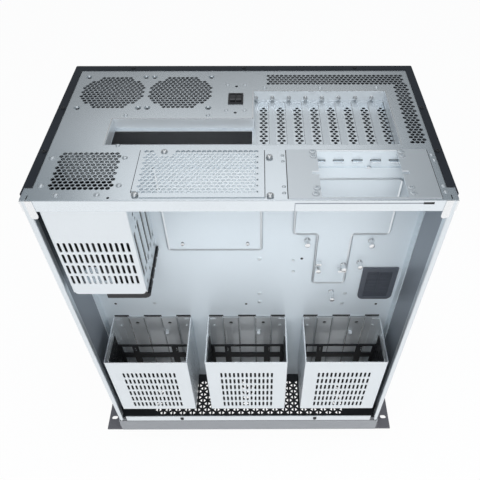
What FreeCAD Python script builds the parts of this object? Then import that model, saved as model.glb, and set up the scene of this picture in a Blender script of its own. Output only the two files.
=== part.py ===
import FreeCAD, Part
import math
import os
import re

import Sketcher
from FreeCAD import Placement, Rotation, Vector

# Empty 6U rackmount server case, standing on its front handles with its open side towards -Y.
# X runs across the case, +Y points to the top cover and +Z to the rear panel.
# The origin is at the middle of the box's footprint, on the surface that the handles stand on.

doc = FreeCAD.newDocument("ServerCase")
sheet = doc.addObject("Spreadsheet::Sheet", "Sizes")

SIZES = {
    # whole case
    "case_width": 429.0,         # between the outer faces of the side walls
    "case_height": 266.0,        # from the open side to the top of the cover (six rack units)
    "case_length": 500.0,        # from the front face to the lips behind the rear panel
    "handle_rise": 40.0,         # how far the handles stand out of the front face
    "panel_width": 482.6,        # over both rack ears
    "tray_depth": 84.0,          # from the open side to the tray
    # sheet metal
    "sheet": 1.2,
    "thin_sheet": 1.0,
    "cover_sheet": 1.0,
    "gap": 0.1,                  # between sheets that slide past each other
    "bend": 1.5,                 # outer radius of a plain fold
    "roll_bend": 4.0,            # outer radius of the rolled open edge
    # side walls
    "rail": 13.0,
    "rail_lip": 8.0,
    "top_rail": 12.0,
    # rear panel
    "rear_rail": 14.0,
    "far_rail": 10.0,
    # recess for the board connectors and the card slots
    "recess_depth": 12.0,
    "recess_left": -149.0,
    "recess_step": 12.3,
    "recess_right": 173.3,
    "recess_foot": 9.0,          # above the tray
    "io_top": 61.5,              # above the tray
    "slot_top": 122.0,           # above the tray
    "recess_flange": 6.0,
    "io_left": -147.4,
    "io_width": 158.75,
    "io_height": 44.45,
    "io_foot": 10.5,             # above the tray
    "slot_first": 24.6,
    "slot_pitch": 20.32,
    "slot_count": 8,
    "slot_width": 12.8,
    "slot_low": 14.0,            # above the tray
    "slot_high": 118.0,          # above the tray
    # slot covers
    "cover_gap": 1.92,           # between neighbouring covers
    "cover_foot": 6.0,           # above the tray
    "tongue_width": 10.0,
    "tongue_drop": 4.0,          # below the tray
    "cover_tab": 9.0,
    # openings in the rear panel behind the power supply plates
    "blank_left": -107.0,
    "blank_right": 24.6,
    "blank_low": 5.0,            # from the open side
    "blank_high": 83.0,          # from the open side
    "plate_left": 48.0,
    "plate_right": 198.0,
    "plate_low": 3.2,
    "plate_high": 83.6,
    "plate_lap": 4.0,            # of each plate over the edge of its opening
    "window_left": 80.6,
    "window_right": 166.0,
    "window_rim": 1.5,
    "window_notch": 7.0,
    "notch_width": 5.5,
    # fans
    "fan_left": -158.2,
    "fan_right": -76.2,
    "fan_level": 203.5,          # from the open side
    "fan_hole_span": 71.5,
    "fan_hole_r": 2.2,
    "fan_vent_r": 39.0,
    # vents
    "vent_hole": 9.0,
    "vent_pitch": 12.0,
    "square_vent_left": -184.0,
    "square_vent_low": 25.0,     # from the open side
    "square_vent_columns": 5,
    "square_vent_rows": 5,
    "top_vent_left": 32.0,
    "top_vent_low": 226.0,       # from the open side
    "top_vent_columns": 14,
    # tray
    "tray_flange": 14.0,
    "tongue_slot": 2.4,
    "platform_left": -97.0,
    "platform_right": 21.0,
    "platform_depth": 148.0,     # from the rear panel's outer face
    "platform_rise": 1.5,
    "field_left": 63.0,
    "field_right": 181.0,
    "field_neck_left": 93.0,
    "field_neck_right": 135.0,
    "field_step": 121.0,         # from the rear panel's outer face
    "field_low": 213.0,
    "field_top": 22.0,           # from the rear panel's outer face
    "field_corner": 4.0,
    # front
    "bezel_depth": 33.0,
    "bezel_wall": 1.5,
    "bezel_lip": 12.0,
    "bezel_seat": 6.0,
    "plate_level": 41.0,         # from the front face to the perforated plate
    "plate_flange": 6.0,
    "front_rail": 17.0,
    "front_lap": 10.0,
    "hook_place": 109.5,
    "hook_width": 5.0,
    # rack ears
    "ear_sheet": 3.0,
    "ear_leg": 20.0,
    "ear_leg_sheet": 2.0,
    "ear_trim": 0.4,
    "rack_span": 465.1,
    "rack_rise": 21.9,
    "rack_hole_r": 3.4,
    "rack_slot": 10.3,
    # handles
    "handle_place": 226.0,
    "handle_span": 100.0,
    "handle_bar": 8.0,
    "handle_width": 10.0,
    "handle_bend": 12.0,
    "handle_edge": 1.5,
    # top cover
    "cover_drop": 10.0,          # from the open side to the end of the cover's legs
    "cover_lip": 12.5,
    "cover_bend": 2.5,
    # front drive cages
    "cage_width": 117.0,
    "cage_pitch": 141.7,
    "cage_low": 73.0,            # from the front face
    "cage_high": 208.0,
    "cage_top_gap": 1.0,         # from the open side to the face of the cage
    "cage_rib": 22.0,
    "cage_rib_place": 24.4,
    "cage_rib_rise": 1.0,
    "cage_slot": 2.4,
    "cage_slot_length": 12.0,
    "cage_slot_pitch": 6.12,
    "cage_slot_columns": 13,
    "cage_row_pitch": 17.2,
    "cage_slot_rows": 6,
    "cage_slot_top": 180.7,      # from the front face
    "dash_gap": 1.0,
    "dash_width": 2.5,
    # black frames inside the front cages
    "frame_level": 56.0,         # from the open side
    "frame_sheet": 2.0,
    "frame_low": 82.0,
    "frame_high": 172.0,
    "frame_bar": 3.5,
    "frame_band_low": 139.3,
    "frame_band_high": 150.5,
    "frame_strap": 9.2,
    "frame_strap_place": 30.1,
    "frame_side": 7.0,
    # rear cage and its black frame
    "rear_cage_left": -200.2,
    "rear_cage_right": -113.2,
    "rear_cage_low": 357.0,
    "rear_slot_first": -194.6,
    "rear_slot_pitch": 6.15,
    "rear_slot_top": 440.4,      # from the front face
    "rear_slot_length": 13.6,
    "rear_slot_rows": 4,
    "side_slot_low": 22.0,
    "skirt_left": -162.0,
    "skirt_drop": 5.0,
    "skirt_lap": 9.0,
    "skirt_gap": 3.0,
    # cable grommet
    "grommet_left": 159.0,
    "grommet_right": 207.0,
    "grommet_low": 251.0,        # from the front face
    "grommet_high": 315.0,
    "grommet_rim": 4.0,
    "grommet_wall": 3.0,
    "grommet_rise": 2.5,
    "grommet_corner": 8.0,
    # posts on the tray
    "post_r": 2.6,
    "post_height": 9.0,
    "tall_post": 15.0,
    "board_left": -145.0,        # first column of board holes
    "board_rear": 26.2,          # from the rear panel's outer face to the first row of board holes
    "board_column_2": 157.48,
    "board_column_3": 281.94,
    "board_row_2": 154.94,
    "board_row_3": 227.33,
    "standoff_r": 3.0,
    "standoff_height": 6.4,
    "standoff_bore": 1.4,
    "standoff_bore_depth": 5.0,
    # double rocker switch
    "switch_place": -8.6,
    "switch_level": 187.2,       # from the open side
    "switch_width": 18.0,
    "switch_height": 22.0,
    "switch_flange": 1.0,
    "switch_rise": 1.5,
    "switch_depth": 14.0,
    "switch_wall": 0.8,
    "rocker_gap": 0.3,
    "rocker_length": 16.6,
    "rocker_pivot": 3.0,         # below the face of the frame
    "rocker_end": 3.6,
    "rocker_valley": 2.4,
    "rocker_belly": 4.0,
    "rocker_skirt": 1.0,
    "pivot_r": 0.8,
    "pivot_fit": 0.05,
    "pivot_reach": 0.25,
    "rocker_tilt": 8.0,          # degrees to each side of the middle
}

for row, (alias, value) in enumerate(SIZES.items(), start=1):
    sheet.set(f"A{row}", alias)
    sheet.set(f"B{row}", str(value))
    sheet.setAlias(f"B{row}", alias)
doc.recompute()


def bound(text):
    """An expression in the sheet's aliases, as FreeCAD reads it."""
    return re.sub(r"[a-z][a-z0-9_]*", lambda word: "Sizes." + word[0] if word[0] in SIZES else word[0], text)


def number(text):
    """The present value of an expression in the sheet's aliases."""
    value = sheet.evalExpression(bound(text))
    return float(getattr(value, "Value", value))


# Levels that several pieces share, as expressions in the sheet's aliases.
HALF = "(case_width / 2)"
OPEN = "(-case_height / 2)"
COVER_TOP = "(case_height / 2)"
COVER_IN = "(case_height / 2 - cover_sheet)"
FRONT = "handle_rise"
BACK = "(handle_rise + case_length)"
PANEL_OUT = f"({BACK} - thin_sheet)"
PANEL_IN = f"({PANEL_OUT} - sheet)"
BEZEL_TOP = f"({FRONT} + bezel_depth)"
WALL_IN = f"({HALF} - sheet - gap)"
NEAR_IN = f"({OPEN} + sheet + gap)"
FAR_IN = f"({COVER_IN} - sheet - gap)"
TRAY = f"({OPEN} + tray_depth)"
TRAY_FAR = f"({TRAY} + sheet)"
RECESS_BACK = f"({PANEL_OUT} - recess_depth)"
COVER_FACE = f"({RECESS_BACK} - thin_sheet)"
PLATE_IN = f"({FRONT} + plate_level + sheet)"
SLOT_WALL = f"({TRAY} + slot_top - gap)"

ROW = math.sqrt(3) / 2         # row pitch of a staggered pattern, in pitches

nodes = []


# ---------------------------------------------------------------- building helpers

def box_loop(x_low, y_low, x_high, y_high):
    return [(x_low, y_low), (x_high, y_low), (x_high, y_high), (x_low, y_high)]


def disc(x, y, radius):
    return (x, y, radius)


class Piece:
    """A PartDesign body whose sketches are bound to the sheet."""

    AXES = {"XY": "XY_Plane", "XZ": "XZ_Plane", "YZ": "YZ_Plane"}

    def __init__(self, label, keep=True):
        self.body = doc.addObject("PartDesign::Body", label)
        self.body.Label = label
        if keep:
            nodes.append(self.body)

    def sketch(self, plane, level, loops):
        """A sketch at a level on the plane's normal, each loop fixed from the origin."""
        drawing = self.body.newObject("Sketcher::SketchObject", "Sketch")
        roles = {feature.Role: feature for feature in self.body.Origin.OriginFeatures}
        drawing.AttachmentSupport = [(roles[self.AXES[plane]], "")]
        drawing.MapMode = "FlatFace"
        drawing.setExpression("AttachmentOffset.Base.z", bound(level))
        for loop in loops:
            if isinstance(loop, tuple):
                self.draw_disc(drawing, *loop)
            else:
                self.draw_loop(drawing, loop)
        return drawing

    def place_point(self, drawing, line, end, x, y):
        for kind, text in (("DistanceX", x), ("DistanceY", y)):
            rule = drawing.addConstraint(Sketcher.Constraint(kind, -1, 1, line, end, number(text)))
            drawing.setExpression(f"Constraints[{rule}]", bound(text))

    def draw_loop(self, drawing, corners):
        points = [Vector(number(x), number(y), 0) for x, y in corners]
        first = drawing.GeometryCount
        count = len(points)
        for i in range(count):
            drawing.addGeometry(Part.LineSegment(points[i], points[(i + 1) % count]), False)
        for i in range(count):
            joint = Sketcher.Constraint("Coincident", first + i, 2, first + (i + 1) % count, 1)
            drawing.addConstraint(joint)
        for i, (x, y) in enumerate(corners):
            self.place_point(drawing, first + i, 1, x, y)

    def draw_disc(self, drawing, x, y, radius):
        centre = Vector(number(x), number(y), 0)
        ring = drawing.addGeometry(Part.Circle(centre, Vector(0, 0, 1), number(radius)), False)
        self.place_point(drawing, ring, 3, x, y)
        rule = drawing.addConstraint(Sketcher.Constraint("Radius", ring, number(radius)))
        drawing.setExpression(f"Constraints[{rule}]", bound(radius))

    def feature(self, kind, plane, low, high, loops, start):
        step = self.body.newObject(kind, kind.split("::")[1])
        step.Profile = self.sketch(plane, start, loops)
        step.setExpression("Length", bound(f"({high}) - ({low})"))
        doc.recompute()
        return step

    def pad(self, plane, low, high, *loops):
        start = f"-({high})" if plane == "XZ" else low
        self.feature("PartDesign::Pad", plane, low, high, loops, start)

    def cut(self, plane, low, high, *loops):
        start = f"-({low})" if plane == "XZ" else high
        before = self.body.Shape.Volume
        step = self.feature("PartDesign::Pocket", plane, low, high, loops, start)
        if not self.body.Shape.Volume < before:
            raise ValueError(f"{self.body.Label}: {step.Name} removes nothing")

    def repeat(self, columns, pitch, rows="1", row_pitch="0"):
        """Repeats the last pocket along its sketch's two axes."""
        pocket = self.body.Tip
        drawing = pocket.Profile[0]
        pattern = self.body.newObject("PartDesign::LinearPattern", "LinearPattern")
        pattern.Originals = [pocket]
        pattern.Direction = (drawing, ["H_Axis"])
        pattern.setExpression("Length", bound(f"({columns} - 1) * ({pitch})"))
        pattern.setExpression("Occurrences", bound(columns))
        if number(rows) > 1:
            pattern.Direction2 = (drawing, ["V_Axis"])
            pattern.setExpression("Length2", bound(f"({rows} - 1) * ({row_pitch})"))
            pattern.setExpression("Occurrences2", bound(rows))
        self.body.Tip = pattern
        doc.recompute()

    def perforate(self, prisms):
        """Cuts a whole field of holes through the finished body in one step."""
        label = self.body.Label
        self.body.Label = label + "_blank"
        holes = doc.addObject("Part::Feature", label + "_holes")
        holes.Shape = Part.makeCompound(prisms)
        perforated = doc.addObject("Part::Cut", label + "_perforated")
        perforated.Label = label
        perforated.Base = self.body
        perforated.Tool = holes
        doc.recompute()
        nodes[nodes.index(self.body)] = perforated

    def edges_along(self, axis, places):
        """Names of the straight edges along an axis that pass through the given places."""
        others = [i for i in range(3) if i != "XYZ".index(axis)]
        wanted = [tuple(number(value) for value in place) for place in places]
        names = []
        for index, edge in enumerate(self.body.Shape.Edges, start=1):
            if not isinstance(edge.Curve, Part.Line):
                continue
            if abs(abs(edge.tangentAt(edge.FirstParameter)["XYZ".index(axis)]) - 1) > 1e-6:
                continue
            point = edge.CenterOfMass
            if any(abs(point[others[0]] - a) < 1e-3 and abs(point[others[1]] - b) < 1e-3 for a, b in wanted):
                names.append(f"Edge{index}")
        return names

    def fillet(self, radius, axis, *places):
        names = self.edges_along(axis, places)
        if not names:
            raise ValueError(f"{self.body.Label}: no edge to round")
        tip = self.body.Tip
        rounding = self.body.newObject("PartDesign::Fillet", "Fillet")
        rounding.Base = (tip, names)
        rounding.Radius = number(radius)
        rounding.setExpression("Radius", bound(radius))
        doc.recompute()
        if "Invalid" in rounding.State:
            raise ValueError(f"{self.body.Label}: the {axis} edges cannot be rounded by {number(radius)}")


def group_of(label, solids):
    """Like pieces that share one node, as separate solids."""
    feature = doc.addObject("Part::Feature", label)
    feature.Label = label
    feature.Shape = Part.makeCompound(solids)
    feature.Placement = Placement()
    nodes.append(feature)



# ---------------------------------------------------------------- folded walls

def side_wall(label, side):
    """A wall folded in at the open side, with a return lip, and in again under the cover."""
    wall = Piece(label)
    outer = f"{side} * {HALF}"
    inner = f"{side} * ({HALF} - sheet)"
    rail_end = f"{side} * ({HALF} - rail)"
    lip_in = f"{side} * ({HALF} - rail + sheet)"
    top_end = f"{side} * ({HALF} - top_rail)"
    wall.pad("XY", BEZEL_TOP, PANEL_OUT, [
        (outer, OPEN),
        (outer, COVER_IN),
        (top_end, COVER_IN),
        (top_end, f"{COVER_IN} - sheet"),
        (inner, f"{COVER_IN} - sheet"),
        (inner, f"{OPEN} + sheet"),
        (lip_in, f"{OPEN} + sheet"),
        (lip_in, f"{OPEN} + rail_lip"),
        (rail_end, f"{OPEN} + rail_lip"),
        (rail_end, OPEN),
    ])
    rear_end = f"{PANEL_OUT} - rear_rail - sheet"
    lip_box = box_loop(f"{side} * ({HALF} - rail - 1)", f"{OPEN} + sheet",
                       f"{side} * ({HALF} - rail + sheet + gap)", f"{OPEN} + rail_lip + 1")
    wall.cut("XY", rear_end, PANEL_OUT, lip_box)
    tab_end = f"({BACK} - thin_sheet / 2)"
    wall.pad("XY", PANEL_OUT, tab_end, box_loop(rail_end, OPEN, f"{side} * ({HALF} - roll_bend)", f"{OPEN} + sheet"))
    wall.fillet("roll_bend", "Y", (rail_end, tab_end))
    wall.fillet("roll_bend - sheet", "Z", (inner, f"{OPEN} + sheet"))
    wall.fillet("roll_bend", "Z", (outer, OPEN))


def recess_outline(inset):
    """The stepped outline of the recess, moved in by a distance."""
    left = f"recess_left + {inset}"
    right = f"recess_right - {inset}"
    foot = f"{TRAY} + recess_foot + {inset}"
    io_edge = f"{TRAY} + io_top - {inset}"
    slot_edge = f"{TRAY} + slot_top - {inset}"
    step = f"recess_step + {inset}"
    return [(left, foot), (right, foot), (right, slot_edge), (step, slot_edge), (step, io_edge), (left, io_edge)]



def fan_hole_places(fan):
    span = "fan_hole_span / 2"
    return [(f"{fan} + {i} * {span}", f"{OPEN} + fan_level + {j} * {span}") for i in (-1, 1) for j in (-1, 1)]



def clear_folds(piece, low, high, width, height):
    """Notches the two corners of a panel where it would meet the folds of the side walls."""
    for side in (-1, 1):
        piece.cut("XY", low, high, box_loop(f"{side} * ({WALL_IN} - ({width}))", NEAR_IN,
                                            f"{side} * {WALL_IN}", f"{NEAR_IN} + ({height})"))


def staggered(left, low, columns, rows):
    """Centres of a staggered field of vents, every other row half a pitch along and one shorter."""
    pitch = SIZES["vent_pitch"]
    for row in range(rows):
        for column in range(columns - row % 2):
            yield left + (column + row % 2 / 2) * pitch, low + row * pitch * ROW


def ringed(x, y, radius):
    """Centres of the staggered vents that fit inside a circle."""
    pitch = SIZES["vent_pitch"]
    reach = radius - SIZES["vent_hole"] / 2
    half = int(reach / (pitch * ROW))
    for row in range(-half, half + 1):
        for column in range(-2 * half, 2 * half + 1):
            dx = (column + row % 2 / 2) * pitch
            dy = row * pitch * ROW
            if math.hypot(dx, dy) <= reach:
                yield x + dx, y + dy


def panel_vents():
    """Hexagonal holes of the two fans, the square vent and the strip beside the cover."""
    near = number(OPEN)
    centres = []
    for fan in ("fan_left", "fan_right"):
        centres += ringed(SIZES[fan], near + SIZES["fan_level"], SIZES["fan_vent_r"])
    centres += staggered(SIZES["square_vent_left"], near + SIZES["square_vent_low"],
                         SIZES["square_vent_columns"], SIZES["square_vent_rows"])
    centres += staggered(SIZES["top_vent_left"], near + SIZES["top_vent_low"], SIZES["top_vent_columns"], 2)
    foot = number(f"{PANEL_IN} - 1")
    up = Vector(0, 0, number("sheet") + 2)
    return [hexagon(x, y, foot).extrude(up) for x, y in centres]


def hexagon(x, y, z):
    """The face of one vent, point up."""
    corner = SIZES["vent_hole"] / 2 / ROW
    turns = [math.radians(30 + 60 * k) for k in range(7)]
    return Part.Face(Part.makePolygon([Vector(x + corner * math.cos(t), y + corner * math.sin(t), z) for t in turns]))


def rear_panel():
    panel = Piece("rear_panel")
    near = NEAR_IN
    rail_end = f"{PANEL_OUT} - rear_rail"
    far_end = f"{PANEL_OUT} - far_rail"
    panel.pad("YZ", f"-{WALL_IN}", WALL_IN, [
        (near, PANEL_OUT),
        (FAR_IN, PANEL_OUT),
        (FAR_IN, far_end),
        (f"{FAR_IN} - sheet", far_end),
        (f"{FAR_IN} - sheet", PANEL_IN),
        (f"{near} + sheet", PANEL_IN),
        (f"{near} + sheet", rail_end),
        (near, rail_end),
    ])
    blank_opening = box_loop("blank_left + plate_lap", f"{OPEN} + blank_low + plate_lap + 4",
                             "blank_right - plate_lap - 4", f"{OPEN} + blank_high - plate_lap")
    plate_opening = box_loop("window_left - plate_lap * 3", f"{OPEN} + plate_low + plate_lap / 2",
                             "window_right + plate_lap * 3", f"{OPEN} + plate_high - plate_lap / 4")
    switch_opening = box_loop("switch_place - switch_width / 2 + switch_flange",
                              f"{OPEN} + switch_level - switch_height / 2 + switch_flange",
                              "switch_place + switch_width / 2 - switch_flange",
                              f"{OPEN} + switch_level + switch_height / 2 - switch_flange")
    panel.cut("XY", PANEL_IN, PANEL_OUT, recess_outline("0"), blank_opening, plate_opening, switch_opening)
    holes = [disc(x, y, "fan_hole_r") for fan in ("fan_left", "fan_right") for x, y in fan_hole_places(fan)]
    panel.cut("XY", PANEL_IN, PANEL_OUT, *holes)
    clear_folds(panel, rail_end, PANEL_OUT, "roll_bend - sheet", "roll_bend - sheet")
    panel.fillet("bend", "X", (near, PANEL_OUT))
    panel.perforate(panel_vents())


def recess_frame():
    """The pan behind the recess, with the connector opening and a window for each card slot."""
    frame = Piece("recess_frame")
    frame.pad("XY", COVER_FACE, PANEL_OUT, recess_outline("gap"))
    frame.cut("XY", RECESS_BACK, PANEL_OUT, recess_outline("(gap + sheet)"))
    frame.pad("XY", f"{PANEL_IN} - thin_sheet", PANEL_IN, recess_outline("-recess_flange"), recess_outline("gap"))
    windows = [box_loop("io_left", f"{TRAY} + io_foot", "io_left + io_width", f"{TRAY} + io_foot + io_height")]
    for i in range(int(number("slot_count"))):
        centre = f"slot_first + {i} * slot_pitch"
        windows.append(box_loop(f"{centre} - slot_width / 2", f"{TRAY} + slot_low",
                                f"{centre} + slot_width / 2", f"{TRAY} + slot_high"))
    frame.cut("XY", COVER_FACE, RECESS_BACK, *windows)



def slot_cover(index):
    """A blank bracket: strip, tongue through the tray and a tab that is screwed to the recess wall."""
    cover = Piece(f"slot_cover_{index + 1}")
    centre = f"slot_first + {index} * slot_pitch"
    half = "(slot_pitch - cover_gap) / 2"
    tongue = "tongue_width / 2"
    cover.pad("XY", f"{COVER_FACE} - thin_sheet", COVER_FACE, [
        (f"{centre} - {half}", f"{TRAY_FAR} + cover_foot"),
        (f"{centre} - {tongue}", f"{TRAY_FAR} + cover_foot - 3"),
        (f"{centre} - {tongue}", f"{TRAY} - tongue_drop"),
        (f"{centre} + {tongue}", f"{TRAY} - tongue_drop"),
        (f"{centre} + {tongue}", f"{TRAY_FAR} + cover_foot - 3"),
        (f"{centre} + {half}", f"{TRAY_FAR} + cover_foot"),
        (f"{centre} + {half}", f"{SLOT_WALL} + thin_sheet"),
        (f"{centre} - {half}", f"{SLOT_WALL} + thin_sheet"),
    ])
    cover.pad("XY", COVER_FACE, f"{COVER_FACE} + cover_tab", box_loop(
        f"{centre} - {half}", SLOT_WALL, f"{centre} + {half}", f"{SLOT_WALL} + thin_sheet"))



def motherboard_tray():
    """The wall between the two chambers, folded towards the open side along both walls."""
    tray = Piece("motherboard_tray")
    flange = f"{TRAY} - tray_flange"
    edge_in = f"{WALL_IN} - sheet"
    tray.pad("XY", PLATE_IN, PANEL_IN, [
        (WALL_IN, flange),
        (WALL_IN, TRAY_FAR),
        (f"-{WALL_IN}", TRAY_FAR),
        (f"-{WALL_IN}", flange),
        (f"-({edge_in})", flange),
        (f"-({edge_in})", TRAY),
        (edge_in, TRAY),
        (edge_in, flange),
    ])
    platform = box_loop("platform_left", f"{PANEL_OUT} - platform_depth", "platform_right", f"{PANEL_OUT} - 22")
    tray.pad("XZ", f"{TRAY} - platform_rise", TRAY, platform)
    pan = box_loop("platform_left + sheet", f"{PANEL_OUT} - platform_depth + sheet",
                   "platform_right - sheet", f"{PANEL_OUT} - 22 - sheet")
    tray.cut("XZ", f"{TRAY_FAR} - platform_rise", TRAY_FAR, pan)
    tray.pad("XZ", f"{TRAY} - platform_rise", TRAY, card_field("0"))
    tray.cut("XZ", f"{TRAY_FAR} - platform_rise", TRAY_FAR, card_field("sheet"))
    tray.fillet("field_corner", "Y", *[place for place in card_field("0")[2:6]])
    tongue = "(tongue_width / 2 + 1)"
    slots = []
    for i in range(int(number("slot_count"))):
        centre = f"slot_first + {i} * slot_pitch"
        level = f"{COVER_FACE} - thin_sheet / 2"
        slots.append(box_loop(f"{centre} - {tongue}", f"{level} - tongue_slot / 2",
                              f"{centre} + {tongue}", f"{level} + tongue_slot / 2"))
    for column in (-1, 0, 1):
        slots += cage_dashes(f"{column} * cage_pitch")
    slots.append(box_loop("grommet_left + grommet_rim", f"{FRONT} + grommet_low + grommet_rim",
                          "grommet_right - grommet_rim", f"{FRONT} + grommet_high - grommet_rim"))
    tray.cut("XZ", TRAY, TRAY_FAR, *slots)


def card_field(inset):
    """The raised field that stiffens the tray below the card slots."""
    top = f"{PANEL_OUT} - field_top - {inset}"
    step = f"{PANEL_OUT} - field_step + {inset}"
    low = f"{PANEL_OUT} - field_low + {inset}"
    return [
        (f"field_left + {inset}", top),
        (f"field_left + {inset}", step),
        (f"field_neck_left + {inset}", step),
        (f"field_neck_left + {inset}", low),
        (f"field_neck_right - {inset}", low),
        (f"field_neck_right - {inset}", step),
        (f"field_right - {inset}", step),
        (f"field_right - {inset}", top),
    ]


def cage_dashes(centre):
    """The slots in the tray at the mouth of a cage, between its two ribs and outside them."""
    inner = "(cage_rib_place - cage_rib / 2)"
    outer = "(cage_rib_place + cage_rib / 2)"
    end = "(cage_width / 2 - 1.5)"
    low = f"{FRONT} + cage_high + dash_gap"
    spans = ((f"-{end}", f"-{outer}"), (f"-{inner}", inner), (outer, end))
    return [box_loop(f"{centre} + {a}", low, f"{centre} + {b}", f"{low} + dash_width") for a, b in spans]


def top_cover():
    """A U of sheet over the far side and both walls, with lips folded in behind the rear panel."""
    cover = Piece("top_cover")
    outer = f"({HALF} + cover_sheet)"
    leg_end = f"{OPEN} + cover_drop"
    cover.pad("XY", BEZEL_TOP, PANEL_OUT, [
        (outer, leg_end),
        (outer, COVER_TOP),
        (f"-{outer}", COVER_TOP),
        (f"-{outer}", leg_end),
        (f"-{HALF}", leg_end),
        (f"-{HALF}", COVER_IN),
        (HALF, COVER_IN),
        (HALF, leg_end),
    ])
    lip = f"({outer} - cover_lip)"
    far = f"{COVER_TOP} - cover_lip"
    cover.pad("XY", PANEL_OUT, BACK, [
        (outer, leg_end),
        (outer, COVER_TOP),
        (f"-{outer}", COVER_TOP),
        (f"-{outer}", leg_end),
        (f"-{lip}", leg_end),
        (f"-{lip}", far),
        (lip, far),
        (lip, leg_end),
    ])
    cover.fillet("cover_bend", "Z", (outer, COVER_TOP), (f"-{outer}", COVER_TOP))



# ---------------------------------------------------------------- front

def front_plate():
    """The black plate behind the bezel, folded forward along both long edges."""
    plate = Piece("front_plate")
    out = f"{FRONT} + plate_level"
    end = f"{out} - plate_flange"
    plate.pad("YZ", f"-{WALL_IN}", WALL_IN, [
        (NEAR_IN, PLATE_IN),
        (FAR_IN, PLATE_IN),
        (FAR_IN, end),
        (f"{FAR_IN} - sheet", end),
        (f"{FAR_IN} - sheet", out),
        (f"{NEAR_IN} + sheet", out),
        (f"{NEAR_IN} + sheet", end),
        (NEAR_IN, end),
    ])
    clear_folds(plate, end, PLATE_IN, "rail - sheet", "rail_lip - sheet")


def front_cross_rail():
    """The rail across the open side behind the bezel, folded in over the bezel's seat."""
    rail = Piece("front_cross_rail")
    end = f"({HALF} - rail - gap)"
    rail.pad("YZ", f"-{end}", end, [
        (OPEN, BEZEL_TOP),
        (OPEN, f"{BEZEL_TOP} + front_rail"),
        (f"{OPEN} + sheet", f"{BEZEL_TOP} + front_rail"),
        (f"{OPEN} + sheet", f"{BEZEL_TOP} + sheet"),
        (f"{OPEN} + front_lap", f"{BEZEL_TOP} + sheet"),
        (f"{OPEN} + front_lap", BEZEL_TOP),
    ])
    slots = [box_loop(f"{side} * hook_place - hook_width / 2", f"{BEZEL_TOP} + front_rail / 3",
                      f"{side} * hook_place + hook_width / 2", f"{BEZEL_TOP} + front_rail * 2 / 3")
             for side in (-1, 1)]
    rail.cut("XZ", OPEN, f"{OPEN} + sheet", *slots)
    rail.fillet("bend", "X", (OPEN, BEZEL_TOP))


def bezel_loop(inset):
    outer = f"({HALF} + cover_sheet - ({inset}))"
    return box_loop(f"-{outer}", f"{OPEN} + {inset}", outer, f"{COVER_TOP} - ({inset})")


def front_bezel():
    """A ring with a lip round its front opening and a seat for the walls behind it."""
    ring = Piece("front_bezel")
    ring.pad("XY", FRONT, BEZEL_TOP, bezel_loop("0"))
    ring.cut("XY", f"{FRONT} + bezel_wall", f"{BEZEL_TOP} - bezel_wall", bezel_loop("bezel_wall"))
    ring.cut("XY", FRONT, f"{FRONT} + bezel_wall", bezel_loop("(bezel_wall + bezel_lip)"))
    ring.cut("XY", f"{BEZEL_TOP} - bezel_wall", BEZEL_TOP, bezel_loop("(bezel_wall + bezel_seat)"))



def rack_ear(label, side):
    """An angle screwed to the bezel's side, with slots for the rack's screws."""
    ear = Piece(label)
    inner = f"({HALF} + cover_sheet)"
    outer = "(panel_width / 2)"
    low = f"{OPEN} + ear_trim"
    high = f"{COVER_TOP} - ear_trim"
    flat = f"{FRONT} + ear_sheet"
    ear.pad("XY", FRONT, flat, box_loop(f"{side} * {inner}", low, f"{side} * {outer}", high))
    ear.pad("XY", flat, f"{FRONT} + ear_leg", box_loop(
        f"{side} * {inner}", low, f"{side} * ({inner} + ear_leg_sheet)", high))
    straight = "(rack_slot / 2 - rack_hole_r)"
    centre = f"{side} * rack_span / 2"
    for end in (f"{OPEN} + rack_rise", f"{COVER_TOP} - rack_rise"):
        ear.cut("XY", FRONT, flat, disc(f"{centre} - {straight}", end, "rack_hole_r"))
        ear.cut("XY", FRONT, flat, disc(f"{centre} + {straight}", end, "rack_hole_r"))
        ear.cut("XY", FRONT, flat, box_loop(f"{centre} - {straight}", f"{end} - rack_hole_r",
                                            f"{centre} + {straight}", f"{end} + rack_hole_r"))


def handle(label, side):
    """A flat bar bent into a bow, tapped at both ends."""
    bow = Piece(label)
    end = "(handle_span / 2)"
    inner = f"({end} - handle_bar)"
    centre = f"{side} * handle_place"
    bow.pad("YZ", f"{centre} - handle_width / 2", f"{centre} + handle_width / 2", [
        (f"-{end}", FRONT),
        (f"-{end}", "0"),
        (end, "0"),
        (end, FRONT),
        (inner, FRONT),
        (inner, "handle_bar"),
        (f"-{inner}", "handle_bar"),
        (f"-{inner}", FRONT),
    ])
    bow.fillet("handle_bend - handle_bar", "X", (f"-{inner}", "handle_bar"), (inner, "handle_bar"))
    bow.fillet("handle_bend", "X", (f"-{end}", "0"), (end, "0"))



# ---------------------------------------------------------------- drive cages

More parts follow.
